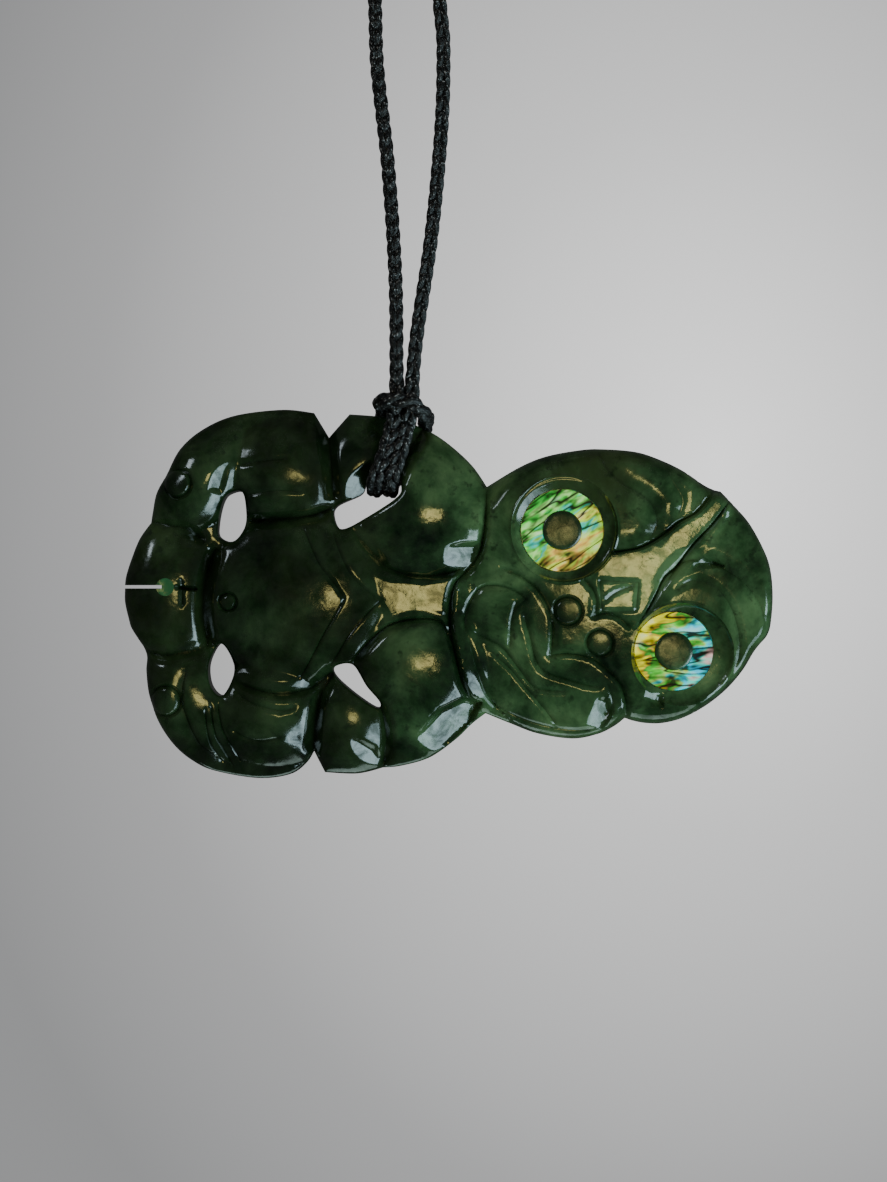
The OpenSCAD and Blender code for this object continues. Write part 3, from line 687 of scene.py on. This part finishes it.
# %% [markdown]
# The corners of the mesh are laid out in the plane of the figure first. Rows of them follow
# every edge, cut, ring and eye, and an even grid fills the rest. Then they are joined into
# triangles, and the height lifts them.

# %% Places in the plane
placed = [np.vstack(loops)]
edge_n = len(placed[0])
edges, start = [], 0
for loop in loops:
    n = len(loop)
    edges += [(start + i, start + (i + 1) % n) for i in range(n)]
    start += n


def add_places(p, clear):
    """Keeps the new places that lie in the stone and not too close to the ones before."""
    p = p[inside(p[:, 0], p[:, 1], outline)]
    for hole in holes:
        p = p[~inside(p[:, 0], p[:, 1], hole)]
    before = np.vstack(placed)
    tree = KDTree(len(before))
    for i, (x, z) in enumerate(before):
        tree.insert((x, z, 0), i)
    tree.balance()
    keep = [tree.find((x, z, 0))[2] > clear for x, z in p]
    placed.append(p[np.array(keep, bool)])


def beside(line, gap, closed=False):
    """The line moved sideways: a positive gap lies on its left."""
    if closed:
        ahead = np.roll(line, -1, axis=0) - np.roll(line, 1, axis=0)
    else:
        ahead = np.gradient(line, axis=0)
    ahead /= np.linalg.norm(ahead, axis=1)[:, None]
    return line + gap * np.stack([-ahead[:, 1], ahead[:, 0]], axis=1)


def circle(centre, radius, step):
    """Places on a circle, about a step apart."""
    n = max(8, int(2 * math.pi * radius / step))
    turn = np.linspace(0, 2 * math.pi, n, endpoint=False)
    return np.stack([centre[0] + radius * np.cos(turn), centre[1] + radius * np.sin(turn)], axis=1)


def grid_places(step, row_step):
    """An even grid over the outline, with every second row half a step along."""
    low, high = outline.min(0), outline.max(0)
    rows = []
    for i, z in enumerate(np.arange(low[1], high[1], row_step)):
        x = np.arange(low[0] + (i % 2) * step / 2, high[0], step)
        rows.append(np.stack([x, np.full(len(x), z)], axis=1))
    return np.vstack(rows)


# Rows beside edges and cuts, and round cores, rings and hollows: how far off they lie, in mm.
EDGE_ROWS = (0.05, 0.14, 0.27, 0.45, 0.7)
CUT_ROWS = (0.2, -0.2, 0.45, -0.45)
CORE_ROWS = (-0.35, -0.12, 0, 0.05)
RING_ROWS = (0.05, 0.1)
HOLLOW_ROWS = (0.35, 0.62, 0.9, 1.18, 1.45, 1.7, 1.9, 2.1, 2.35)
# A grid's step, and the height of an even triangle with sides of 1.
GRID = 0.33
TRIANGLE_H = 0.866
for gap in EDGE_ROWS:
    add_places(np.vstack([beside(loop, gap, closed=True) for loop in loops]), clear=gap * 0.8)
for eye, socket, ring_r, core_r in EYES:
    for radius in [core_r + more for more in CORE_ROWS] + [ring_r + more for more in RING_ROWS]:
        add_places(circle(eye, radius, step=0.24), clear=0.035)
    for more in HOLLOW_ROWS:
        add_places(circle(socket, ring_r + more, step=0.3), clear=0.12)
for radius in (POCKET_R + 0.02, POCKET_R - 0.06):
    add_places(circle(POCKET, radius, step=0.2), clear=0.03)
for centre, radius, width, _ in RINGS:
    for gap in (0, -width / 2, width / 2, -width, width):
        add_places(circle(centre, radius + gap, step=0.26), clear=0.1)
add_places(np.vstack(cut_lines), clear=0.1)
for gap in CUT_ROWS:
    add_places(np.vstack([beside(line, gap) for line in cut_lines]), clear=0.13)
add_places(grid_places(GRID, GRID * TRIANGLE_H), clear=GRID * 0.62)
front = np.vstack(placed)
print("front:", len(front), "places")

# %% [markdown]
# The back is flat with a rounded edge, so it needs far fewer corners. Both sides share the
# places on their edges, and a wall joins them there.

# %% Join the stone
BACK_ROWS = (0.12, 0.3, 0.55, 0.85)
BACK_GRID = 1.2
BACK_R = 0.8
SMOOTH_BELOW = 38
placed = placed[:1]
for gap in BACK_ROWS:
    add_places(np.vstack([beside(loop, gap, closed=True) for loop in loops]), clear=gap * 0.75)
add_places(grid_places(BACK_GRID, BACK_GRID), clear=BACK_GRID / 2)
back = np.vstack(placed)


def triangles(p):
    """Triangles between the places that lie in the stone."""
    made = delaunay_2d_cdt([Vector(q) for q in p], edges, [], 0, 1e-6, True)
    names = [o[0] if o else -1 for o in made[3]]
    tris = np.array([[names[i] for i in f] for f in made[2]])
    tris = tris[(tris >= 0).all(axis=1)]
    middle = p[tris].mean(axis=1)
    keep = inside(middle[:, 0], middle[:, 1], outline)
    for hole in holes:
        keep &= ~inside(middle[:, 0], middle[:, 1], hole)
    tris = tris[keep]
    a, b, c = p[tris[:, 0]], p[tris[:, 1]], p[tris[:, 2]]
    turn = (b - a)[:, 0] * (c - a)[:, 1] - (b - a)[:, 1] * (c - a)[:, 0]
    tris[turn < 0] = tris[turn < 0][:, ::-1]
    return tris


front_h, painted_shade, thin = height(front[:, 0], front[:, 1])
gap = np.full(len(back), FAR)
for loop in loops:
    gap = np.minimum(gap, nearest(back[:, 0], back[:, 1], loop, closed=True)[0])
back_h = edge_drop(gap, BACK_R)


def in_space(p, h):
    """Places in metres, for places in the plane and their heights in mm."""
    return np.stack([p[:, 0], BACK_Y - h, p[:, 1] + MIDDLE_Z], axis=1) / MM_PER_M


walls = [in_space(front[:edge_n], front_h[:edge_n] * (1 - k) + back_h[:edge_n] * k)
         for k in (1 / 3, 2 / 3)]
points = np.vstack([in_space(front, front_h), in_space(back, back_h)] + walls)
nf, nb = len(front), len(back)
front_t, back_t = triangles(front), triangles(back)
ladder = [0, nf + nb, nf + nb + edge_n, nf]
faces = front_t.tolist() + (back_t[:, ::-1] + nf).tolist()
for a, b in edges:
    for up, down in zip(ladder[:-1], ladder[1:]):
        faces.append([up + b, up + a, down + a, down + b])
stone, mesh = make_object("carved_stone", points, faces)
for name, values in (("PaintedShade", painted_shade), ("Thin", thin)):
    full = np.zeros(len(points), np.float32)
    full[:nf] = values
    mesh.attributes.new(name, "FLOAT", "POINT").data.foreach_set("value", full)
mesh.validate()
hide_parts("tiki")
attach(stone, "root")
bpy.ops.object.select_all(action="DESELECT")
bpy.context.view_layer.objects.active = stone
stone.select_set(True)
bpy.ops.object.shade_smooth_by_angle(angle=math.radians(SMOOTH_BELOW))
bpy.ops.object.select_all(action="DESELECT")
print("stone:", len(mesh.polygons), "faces, highest", round(float(front_h.max()), 2), "mm")

# %% [markdown]
# ## Materials
# A few short helpers keep the node trees readable.

# %% Node helpers


def new_material(name):
    """A new material, its node tree and its main shader."""
    material = bpy.data.materials.new(name)
    material.use_nodes = True
    tree = material.node_tree
    return material, tree, tree.nodes["Principled BSDF"]


def set_input(n, key, value):
    """Sets an input of a node, or links it where the value is a socket."""
    if isinstance(value, bpy.types.NodeSocket):
        n.id_data.links.new(value, n.inputs[key])
    else:
        n.inputs[key].default_value = value


def set_up(n, **settings):
    """Settings with a capital are inputs of the node, the others are its properties."""
    for key, value in settings.items():
        if key[0].isupper():
            set_input(n, key.replace("_", " "), value)
        else:
            setattr(n, key, value)


def add(tree, kind, at, source=None, **settings):
    """A new node, with the source linked to its first input."""
    n = tree.nodes.new(kind)
    n.location = at
    set_up(n, **settings)
    if source is not None:
        set_input(n, 0, source)
    return n


def noise(tree, at, source, scale, detail, roughness, distortion=0.0, **more):
    """A noise pattern."""
    return add(tree, "ShaderNodeTexNoise", at, source, Scale=scale, Detail=detail,
               Roughness=roughness, Distortion=distortion, **more).outputs["Fac"]


def ramp(tree, at, source, stops, smooth="LINEAR"):
    """A colour ramp. Each stop is a place with a colour or with one grey value."""
    n = add(tree, "ShaderNodeValToRGB", at, source)
    n.color_ramp.interpolation = smooth
    while len(n.color_ramp.elements) < len(stops):
        n.color_ramp.elements.new(0.5)
    for e, (place, colour) in zip(n.color_ramp.elements, stops):
        e.position = place
        e.color = (*colour, 1) if isinstance(colour, tuple) else (colour, colour, colour, 1)
    return n.outputs["Color"]


def mix(tree, at, kind, factor, a, b):
    """A colour mix."""
    n = add(tree, "ShaderNodeMix", at, data_type="RGBA", blend_type=kind)
    for number, value in ((0, factor), (6, a), (7, b)):
        set_input(n, number, value)
    return n.outputs[2]


def maths(tree, at, kind, *values):
    """One step of arithmetic on its values."""
    n = add(tree, "ShaderNodeMath", at, operation=kind)
    for number, value in enumerate(values):
        set_input(n, number, value)
    return n.outputs[0]


def bumped(tree, at, height, strength, distance, **before):
    """The normal over a height, on top of an earlier Normal where there is one."""
    return add(tree, "ShaderNodeBump", at, Height=height, Strength=strength,
               Distance=distance, **before).outputs["Normal"]


print("helpers ready")

# %% [markdown]
# Nephrite is a deep green stone with soft clouds, olive patches and small dark flecks. It is
# polished, so the surface is smooth, with a faint waviness left by hand grinding.

# %% Nephrite
OLIVE = (0.038, 0.060, 0.018, 1)
FLECK = (0.006, 0.014, 0.006, 1)
CUT_SHADOW = (0.40, 0.45, 0.40, 1)
WEB_PAINTED_LIGHT_GREEN = (0.04, 0.17, 0.07, 1)
WEB_PAINTED_GLOW = (0.08, 0.36, 0.15, 1)
NO_GLOW = (0, 0, 0, 1)
nephrite, tree, bsdf = new_material("nephrite")
place = add(tree, "ShaderNodeTexCoord", (-1500, 0)).outputs["Object"]
cloud = noise(tree, (-1200, 300), place, scale=105, detail=6, roughness=0.62, distortion=0.25)
patch = noise(tree, (-1200, 50), place, scale=46, detail=4, roughness=0.55, distortion=0.5)
fleck = noise(tree, (-1200, -200), place, scale=520, detail=3, roughness=0.6)
wave = noise(tree, (-1200, -450), place, scale=330, detail=2, roughness=0.5, distortion=0.4)
scratch = noise(tree, (-1200, -700), place, scale=2600, detail=2, roughness=0.5)
film = noise(tree, (-1200, -950), place, scale=420, detail=5, roughness=0.65, distortion=0.6)
greens = ramp(tree, (-950, 300), cloud,
              [(0.35, (0.004, 0.012, 0.005)), (0.46, (0.017, 0.043, 0.015)),
               (0.56, (0.042, 0.094, 0.035)), (0.68, (0.095, 0.180, 0.070))])
olive = ramp(tree, (-950, 50), patch, [(0.48, 0.0), (0.68, 1.0)])
body = mix(tree, (-650, 250), "MIX", maths(tree, (-800, 50), "MULTIPLY", olive, 0.6),
           greens, OLIVE)
# The stone is darkest at the belly and the thighs, and clearest in the head.
along = add(tree, "ShaderNodeSeparateXYZ", (-1200, 550), place)
share = add(tree, "ShaderNodeMapRange", (-1000, 550), along.outputs["X"],
            From_Min=-0.044, From_Max=0.056)
clear = ramp(tree, (-800, 550), share.outputs["Result"],
             [(0.0, 0.55), (0.16, 0.36), (0.34, 0.34), (0.46, 0.70), (0.62, 1.0), (1.0, 1.0)],
             "EASE")
body = mix(tree, (-550, 450), "MULTIPLY", 1.0, body, clear)
pale = ramp(tree, (-950, -200), fleck, [(0.30, 0.35), (0.42, 1.0)])
body = mix(tree, (-450, 200), "MIX", maths(tree, (-650, -100), "SUBTRACT", 1.0, pale),
           body, FLECK)
# Painted shade in the cuts, rings, bosses and eye cores darkens the colour and dulls the polish
# there.
cuts = add(tree, "ShaderNodeAttribute", (-650, -250), attribute_name="PaintedShade").outputs["Fac"]
body = mix(tree, (-250, 200), "MULTIPLY", maths(tree, (-450, -200), "MULTIPLY", cuts, 0.8),
           body, CUT_SHADOW)
web = add(tree, "ShaderNodeAttribute", (-650, -450), attribute_name="Thin").outputs["Fac"]
# The thin web is painted a lighter green, for light coming through it.
body = mix(tree, (-50, 200), "MIX", web, body, WEB_PAINTED_LIGHT_GREEN)
# A painted glow stands in for daylight from behind coming through the thin web of the pocket.
painted_glow = mix(tree, (-50, 0), "MIX", web, NO_GLOW, WEB_PAINTED_GLOW)
shine = ramp(tree, (-950, -450), patch, [(0.35, 0.08), (0.65, 0.15)])
rough = maths(tree, (-450, -400), "ADD", shine, maths(tree, (-600, -600), "MULTIPLY", cuts, 0.2))
# The polish isn't even: a thin film dulls it in small spots.
gleam = ramp(tree, (-950, -950), film, [(0.38, 0.22), (0.58, 0.68)])
slow = bumped(tree, (-450, -700), wave, 0.35, 0.00016)
fine = bumped(tree, (-250, -700), scratch, 0.6, 0.000012, Normal=slow)
set_up(bsdf, Base_Color=body, Roughness=rough, Specular_IOR_Level=gleam, IOR=1.62, Normal=fine,
       Emission_Color=painted_glow, Emission_Strength=0.16)
stone.data.materials.append(nephrite)
print("nephrite on", stone.name)

# %% [markdown]
# Paua shell shows bands of changing green, blue, gold and pink with thin dark lines between
# them. One group makes the bands, and each eye turns and colours them in its own way.

# %% Shell bands
bands = bpy.data.node_groups.new("shell_bands", "ShaderNodeTree")
for name, kind in (("Vector", "NodeSocketVector"), ("Turn", "NodeSocketFloat"),
                   ("Seed", "NodeSocketFloat")):
    bands.interface.new_socket(name=name, in_out="INPUT", socket_type=kind)
for name in ("Bands", "Lines", "Glints"):
    bands.interface.new_socket(name=name, in_out="OUTPUT", socket_type="NodeSocketFloat")
enter = add(bands, "NodeGroupInput", (-1200, 0))
leave = add(bands, "NodeGroupOutput", (900, 0))
turned = add(bands, "ShaderNodeVectorRotate", (-950, 0), enter.outputs["Vector"],
             rotation_type="Y_AXIS", Angle=enter.outputs["Turn"]).outputs["Vector"]
flat = add(bands, "ShaderNodeMapping", (-750, 0), turned, Scale=(0.20, 1, 1)).outputs["Vector"]
tall = add(bands, "ShaderNodeMapping", (-750, 300), turned, Scale=(0.45, 1, 1)).outputs["Vector"]
own = dict(noise_dimensions="4D", W=enter.outputs["Seed"])
warp = noise(bands, (-550, 200), tall, scale=540, detail=2, roughness=0.5, distortion=0.3, **own)
glint = noise(bands, (-550, -50), tall, scale=640, detail=2, roughness=0.6, distortion=0.5, **own)
cracks = noise(bands, (-550, -300), flat, scale=330, detail=2, roughness=0.55, distortion=0.4,
               **own)
edge = maths(bands, (-300, -300), "SUBTRACT", cracks, 0.5)
edge = maths(bands, (-100, -300), "ABSOLUTE", edge)
line = add(bands, "ShaderNodeMapRange", (100, -300), edge, From_Min=0.005, From_Max=0.034)
set_up(leave, Bands=warp, Lines=line.outputs["Result"], Glints=glint)
print("shell bands group ready")

# %% Paua shell
PAINTED_GLINT = (0.84, 1.0, 0.78, 1)
UPPER_HUES = [(0.04, (0.02, 0.40, 0.04)), (0.16, (0.08, 0.80, 0.08)), (0.27, (0.46, 0.90, 0.24)),
              (0.36, (0.08, 0.72, 0.06)), (0.45, (0.02, 0.66, 0.56)), (0.55, (0.42, 0.80, 0.04)),
              (0.66, (0.74, 0.90, 0.08)), (0.78, (0.95, 0.50, 0.10)), (0.92, (0.56, 0.88, 0.10))]
LOWER_HUES = [(0.05, (0.96, 0.84, 0.005)), (0.30, (1.00, 0.88, 0.005)), (0.37, (0.78, 0.46, 0.04)),
              (0.42, (0.05, 0.36, 0.03)), (0.50, (0.12, 0.74, 0.05)), (0.58, (0.50, 0.68, 0.14)),
              (0.65, (0.02, 0.88, 0.62)), (0.75, (0.02, 0.62, 0.92)), (0.84, (0.04, 0.90, 0.66)),
              (0.94, (0.80, 0.46, 0.42))]


def shell(name, eye, turn, seed, slant, hues):
    """Shell whose hues run from the upper left of the ring to its lower right."""
    material, tree, bsdf = new_material(name)
    place = add(tree, "ShaderNodeTexCoord", (-1400, 0)).outputs["Object"]
    group = add(tree, "ShaderNodeGroup", (-950, 0), place, node_tree=bands,
                Turn=math.radians(turn), Seed=seed).outputs
    across = add(tree, "ShaderNodeVectorMath", (-1200, 300), place, operation="SUBTRACT")
    set_input(across, 1, (eye[0] / MM_PER_M, 0, (eye[1] + MIDDLE_Z) / MM_PER_M))
    slope = add(tree, "ShaderNodeVectorMath", (-1000, 300), across.outputs["Vector"],
                operation="DOT_PRODUCT")
    set_input(slope, 1, slant)
    spread = maths(tree, (-800, 200), "MULTIPLY_ADD", group["Bands"], 1.3, -0.15)
    hue = ramp(tree, (-500, 200),
               maths(tree, (-650, 250), "ADD", spread, slope.outputs["Value"]), hues)
    light = ramp(tree, (-700, -100), group["Glints"], [(0.36, 0.05), (0.46, 0.50), (0.55, 1.0)])
    body = mix(tree, (-300, 100), "MULTIPLY", 1.0, hue, light)
    # Painted glints: the colour turns pale where the glint pattern is high.
    glint = ramp(tree, (-500, -120), group["Glints"], [(0.57, 0.0), (0.66, 0.65)])
    colour = mix(tree, (-200, 200), "MIX", glint, body, PAINTED_GLINT)
    shade = ramp(tree, (-500, -300), group["Lines"], [(0.0, 0.03), (1.0, 1.0)])
    colour = mix(tree, (-150, 100), "MULTIPLY", 1.0, colour, shade)
    # The thin layers of the shell send back more light of one colour than a matt paint would; a
    # painted glow in the band colours stands in for it.
    painted_glow = mix(tree, (-150, -200), "MULTIPLY", 1.0, body, shade)
    set_up(bsdf, Base_Color=colour, Roughness=0.38, Specular_IOR_Level=0.25,
           Normal=bumped(tree, (-300, -300), group["Bands"], 0.3, 0.0001),
           Emission_Color=painted_glow, Emission_Strength=0.50)
    return material


def dress(node, material):
    """Gives a CAD node its material."""
    mesh = nodes[node].data
    mesh.materials.clear()
    mesh.materials.append(material)


# Each shell: turn of its bands in degrees, seed, and how fast the hue runs on for each metre.
dress("eye_ring_upper", shell("paua_upper", EYES[0][0], 32, 3.1, (46, 0, -46), UPPER_HUES))
dress("eye_ring_lower", shell("paua_lower", EYES[1][0], 4, 7.7, (58, 0, -24), LOWER_HUES))
print("shell on both eye rings")

# %% [markdown]
# The cord is black polyester. Fine fibres run along each strand, with small painted grey glints
# on them, and the crevices of the plait stay dark.

# %% Cord fibre
PAINTED_GLINT_GREY = (0.16, 0.16, 0.17, 1)
fibre, tree, bsdf = new_material("cord_fibre")
coords = add(tree, "ShaderNodeTexCoord", (-1300, 0)).outputs
stretch = add(tree, "ShaderNodeMapping", (-1100, 0), coords["UV"], Scale=(11, 2.6, 1),
              Rotation=(0, 0, 0.25)).outputs["Vector"]
threads = noise(tree, (-850, 100), stretch, scale=1.0, detail=2, roughness=0.7)
glint_specks = noise(tree, (-850, -150), coords["Object"], scale=900, detail=3, roughness=0.6)
dark = ramp(tree, (-600, 100), threads,
            [(0.46, 0.0015), (0.57, 0.006), (0.62, 0.06), (0.68, 0.40)])
# Grey specks painted into the colour stand in for small glints on the fibres.
spots = ramp(tree, (-600, -150), glint_specks, [(0.56, 0.0), (0.68, 1.0)])
spots = maths(tree, (-450, -150), "MULTIPLY", spots, 0.12)
set_up(bsdf, Base_Color=mix(tree, (-300, 50), "MIX", spots, dark, PAINTED_GLINT_GREY), Roughness=0.36,
       Normal=bumped(tree, (-300, -300), threads, 1.0, 0.0003),
       Sheen_Weight=0.03, Sheen_Roughness=0.4)
cord.data.materials.append(fibre)
print("fibre on", cord.name)

# %% [markdown]
# The bone tube at the nape is warm ivory with faint grain along it and small dark pores.

# %% Bone
bone, tree, bsdf = new_material("bone")
place = add(tree, "ShaderNodeTexCoord", (-1100, 0)).outputs["Object"]
long = add(tree, "ShaderNodeMapping", (-900, 0), place, Scale=(0.12, 1, 1)).outputs["Vector"]
grain = noise(tree, (-700, 100), long, scale=1500, detail=4, roughness=0.6)
pores = add(tree, "ShaderNodeTexVoronoi", (-700, -150), long, Scale=1300).outputs["Distance"]
tint = ramp(tree, (-450, 100), grain, [(0.3, (0.62, 0.52, 0.36)), (0.7, (0.80, 0.73, 0.58))])
pits = ramp(tree, (-450, -150), pores, [(0.06, 0.35), (0.16, 1.0)])
set_up(bsdf, Base_Color=mix(tree, (-200, 50), "MULTIPLY", 1.0, tint, pits), Roughness=0.38,
       Normal=bumped(tree, (-200, -250), pits, 0.3, 0.0001),
       Subsurface_Weight=0.1, Subsurface_Radius=(0.002, 0.0012, 0.0007))
dress("clasp", bone)
print("bone on the clasp")

# %% [markdown]
# ## Backdrop and light
# One sweep is both the pale floor and the wall behind; it glows with a painted pool of light,
# brightest near the pendant. A warm panel close to the camera shows in the flat polished places,
# two cool windows show on the slopes, and a low glow draws the edges that face down.

# %% Backdrop
SWEEP_W, SWEEP_L, FLOOR_L = 3.0, 2.9, 0.9
FLOOR_FRONT_Y, FLOOR_Z = -0.8, -0.92
BEND_Y, BEND_Z, BEND_R = 0.1, -0.52, 0.4
BEND_L = BEND_R * math.pi / 2
bpy.ops.mesh.primitive_grid_add(x_subdivisions=2, y_subdivisions=60, size=1, location=(0, 0, 0))
sweep = bpy.context.object
sweep.name = "backdrop"
for v in sweep.data.vertices:
    s = (v.co.y + 0.5) * SWEEP_L
    if s < FLOOR_L:
        y, z = FLOOR_FRONT_Y + s, FLOOR_Z
    elif s < FLOOR_L + BEND_L:
        a = (s - FLOOR_L) / BEND_R
        y, z = BEND_Y + BEND_R * math.sin(a), BEND_Z - BEND_R * math.cos(a)
    else:
        y, z = BEND_Y + BEND_R, BEND_Z + s - FLOOR_L - BEND_L
    v.co = (v.co.x * SWEEP_W, y, z)
bpy.ops.object.shade_smooth()
bpy.ops.object.select_all(action="DESELECT")
paper, tree, bsdf = new_material("backdrop_paper")
place = add(tree, "ShaderNodeTexCoord", (-1100, 0)).outputs["Object"]
spread = add(tree, "ShaderNodeMapping", (-900, 0), place, Location=(-0.09, 0, 0.15),
             Scale=(1, 0, 0.8))
far = add(tree, "ShaderNodeVectorMath", (-700, 0), spread.outputs["Vector"], operation="LENGTH")
# A painted pool of light: the sweep's glow is brightest near the pendant and falls off round it.
painted_light_pool = ramp(tree, (-450, 0), far.outputs["Value"],
            [(0.0, (0.90, 0.90, 0.90)), (0.09, (0.55, 0.55, 0.55)),
             (0.19, (0.285, 0.284, 0.287)), (0.25, (0.20, 0.20, 0.203))])
set_up(bsdf, Base_Color=(0.02, 0.02, 0.02, 1), Roughness=0.9,
       Emission_Color=painted_light_pool, Emission_Strength=1.5)
# Seen from behind, the sweep is clear, so that it never hides the pendant.
side = add(tree, "ShaderNodeNewGeometry", (0, 300)).outputs["Backfacing"]
clear = add(tree, "ShaderNodeBsdfTransparent", (0, -300))
paper_or_clear = add(tree, "ShaderNodeMixShader", (350, 0), side)
set_input(paper_or_clear, 1, bsdf.outputs["BSDF"])
set_input(paper_or_clear, 2, clear.outputs["BSDF"])
set_up(next(n for n in tree.nodes if n.type == "OUTPUT_MATERIAL"),
       Surface=paper_or_clear.outputs["Shader"])
sweep.data.materials.append(paper)
sweep.visible_glossy = False
sweep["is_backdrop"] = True
print("backdrop:", len(sweep.data.polygons), "faces")

# %% Lights
TIKI = (0.0, 0.0, -0.227)
# Each light: name, place, aim, size, watts and colour.
LIGHTS = [
    ("warm_panel", (0.036, -0.56, -0.222), (0.036, 0, -0.222), (0.12, 0.07), 0.18,
     (1.0, 0.87, 0.30)),
    ("window_left", (-0.48, -0.38, 0.12), TIKI, (0.13, 0.15), 0.38, (0.80, 0.92, 1.0)),
    ("window_right", (0.46, -0.33, -0.52), TIKI, (0.50, 0.42), 3.9, (0.66, 0.92, 1.0)),
    ("floor_glow", (0.05, 0.10, -0.75), TIKI, (0.60, 0.30), 0.95, (0.75, 1.0, 0.92)),
    ("soft_top", (0.1, -0.45, 0.35), TIKI, (0.5, 0.4), 1.6, (1.0, 0.98, 0.93)),
]
WORLD_GREY = (0.10, 0.10, 0.10, 1)
WORLD_STRENGTH = 0.5
for name, at, aim, size, watts, colour in LIGHTS:
    bpy.ops.object.light_add(type="AREA", location=at)
    light = bpy.context.object
    light.name = name
    light.rotation_euler = (Vector(aim) - Vector(at)).to_track_quat("-Z", "Y").to_euler()
    light.data.shape = "RECTANGLE"
    light.data.size, light.data.size_y = size
    light.data.energy = watts
    light.data.color = colour
    light.visible_camera = False
    light.visible_glossy = name != "soft_top"
world = bpy.data.worlds.new("studio")
world.use_nodes = True
background = world.node_tree.nodes["Background"]
background.inputs["Color"].default_value = WORLD_GREY
background.inputs["Strength"].default_value = WORLD_STRENGTH
bpy.context.scene.world = world
bpy.ops.object.select_all(action="DESELECT")

# %% [markdown]
# ## Sizes
# The box round the finished model is printed.

# %% Finish
print("visual box:", corners())
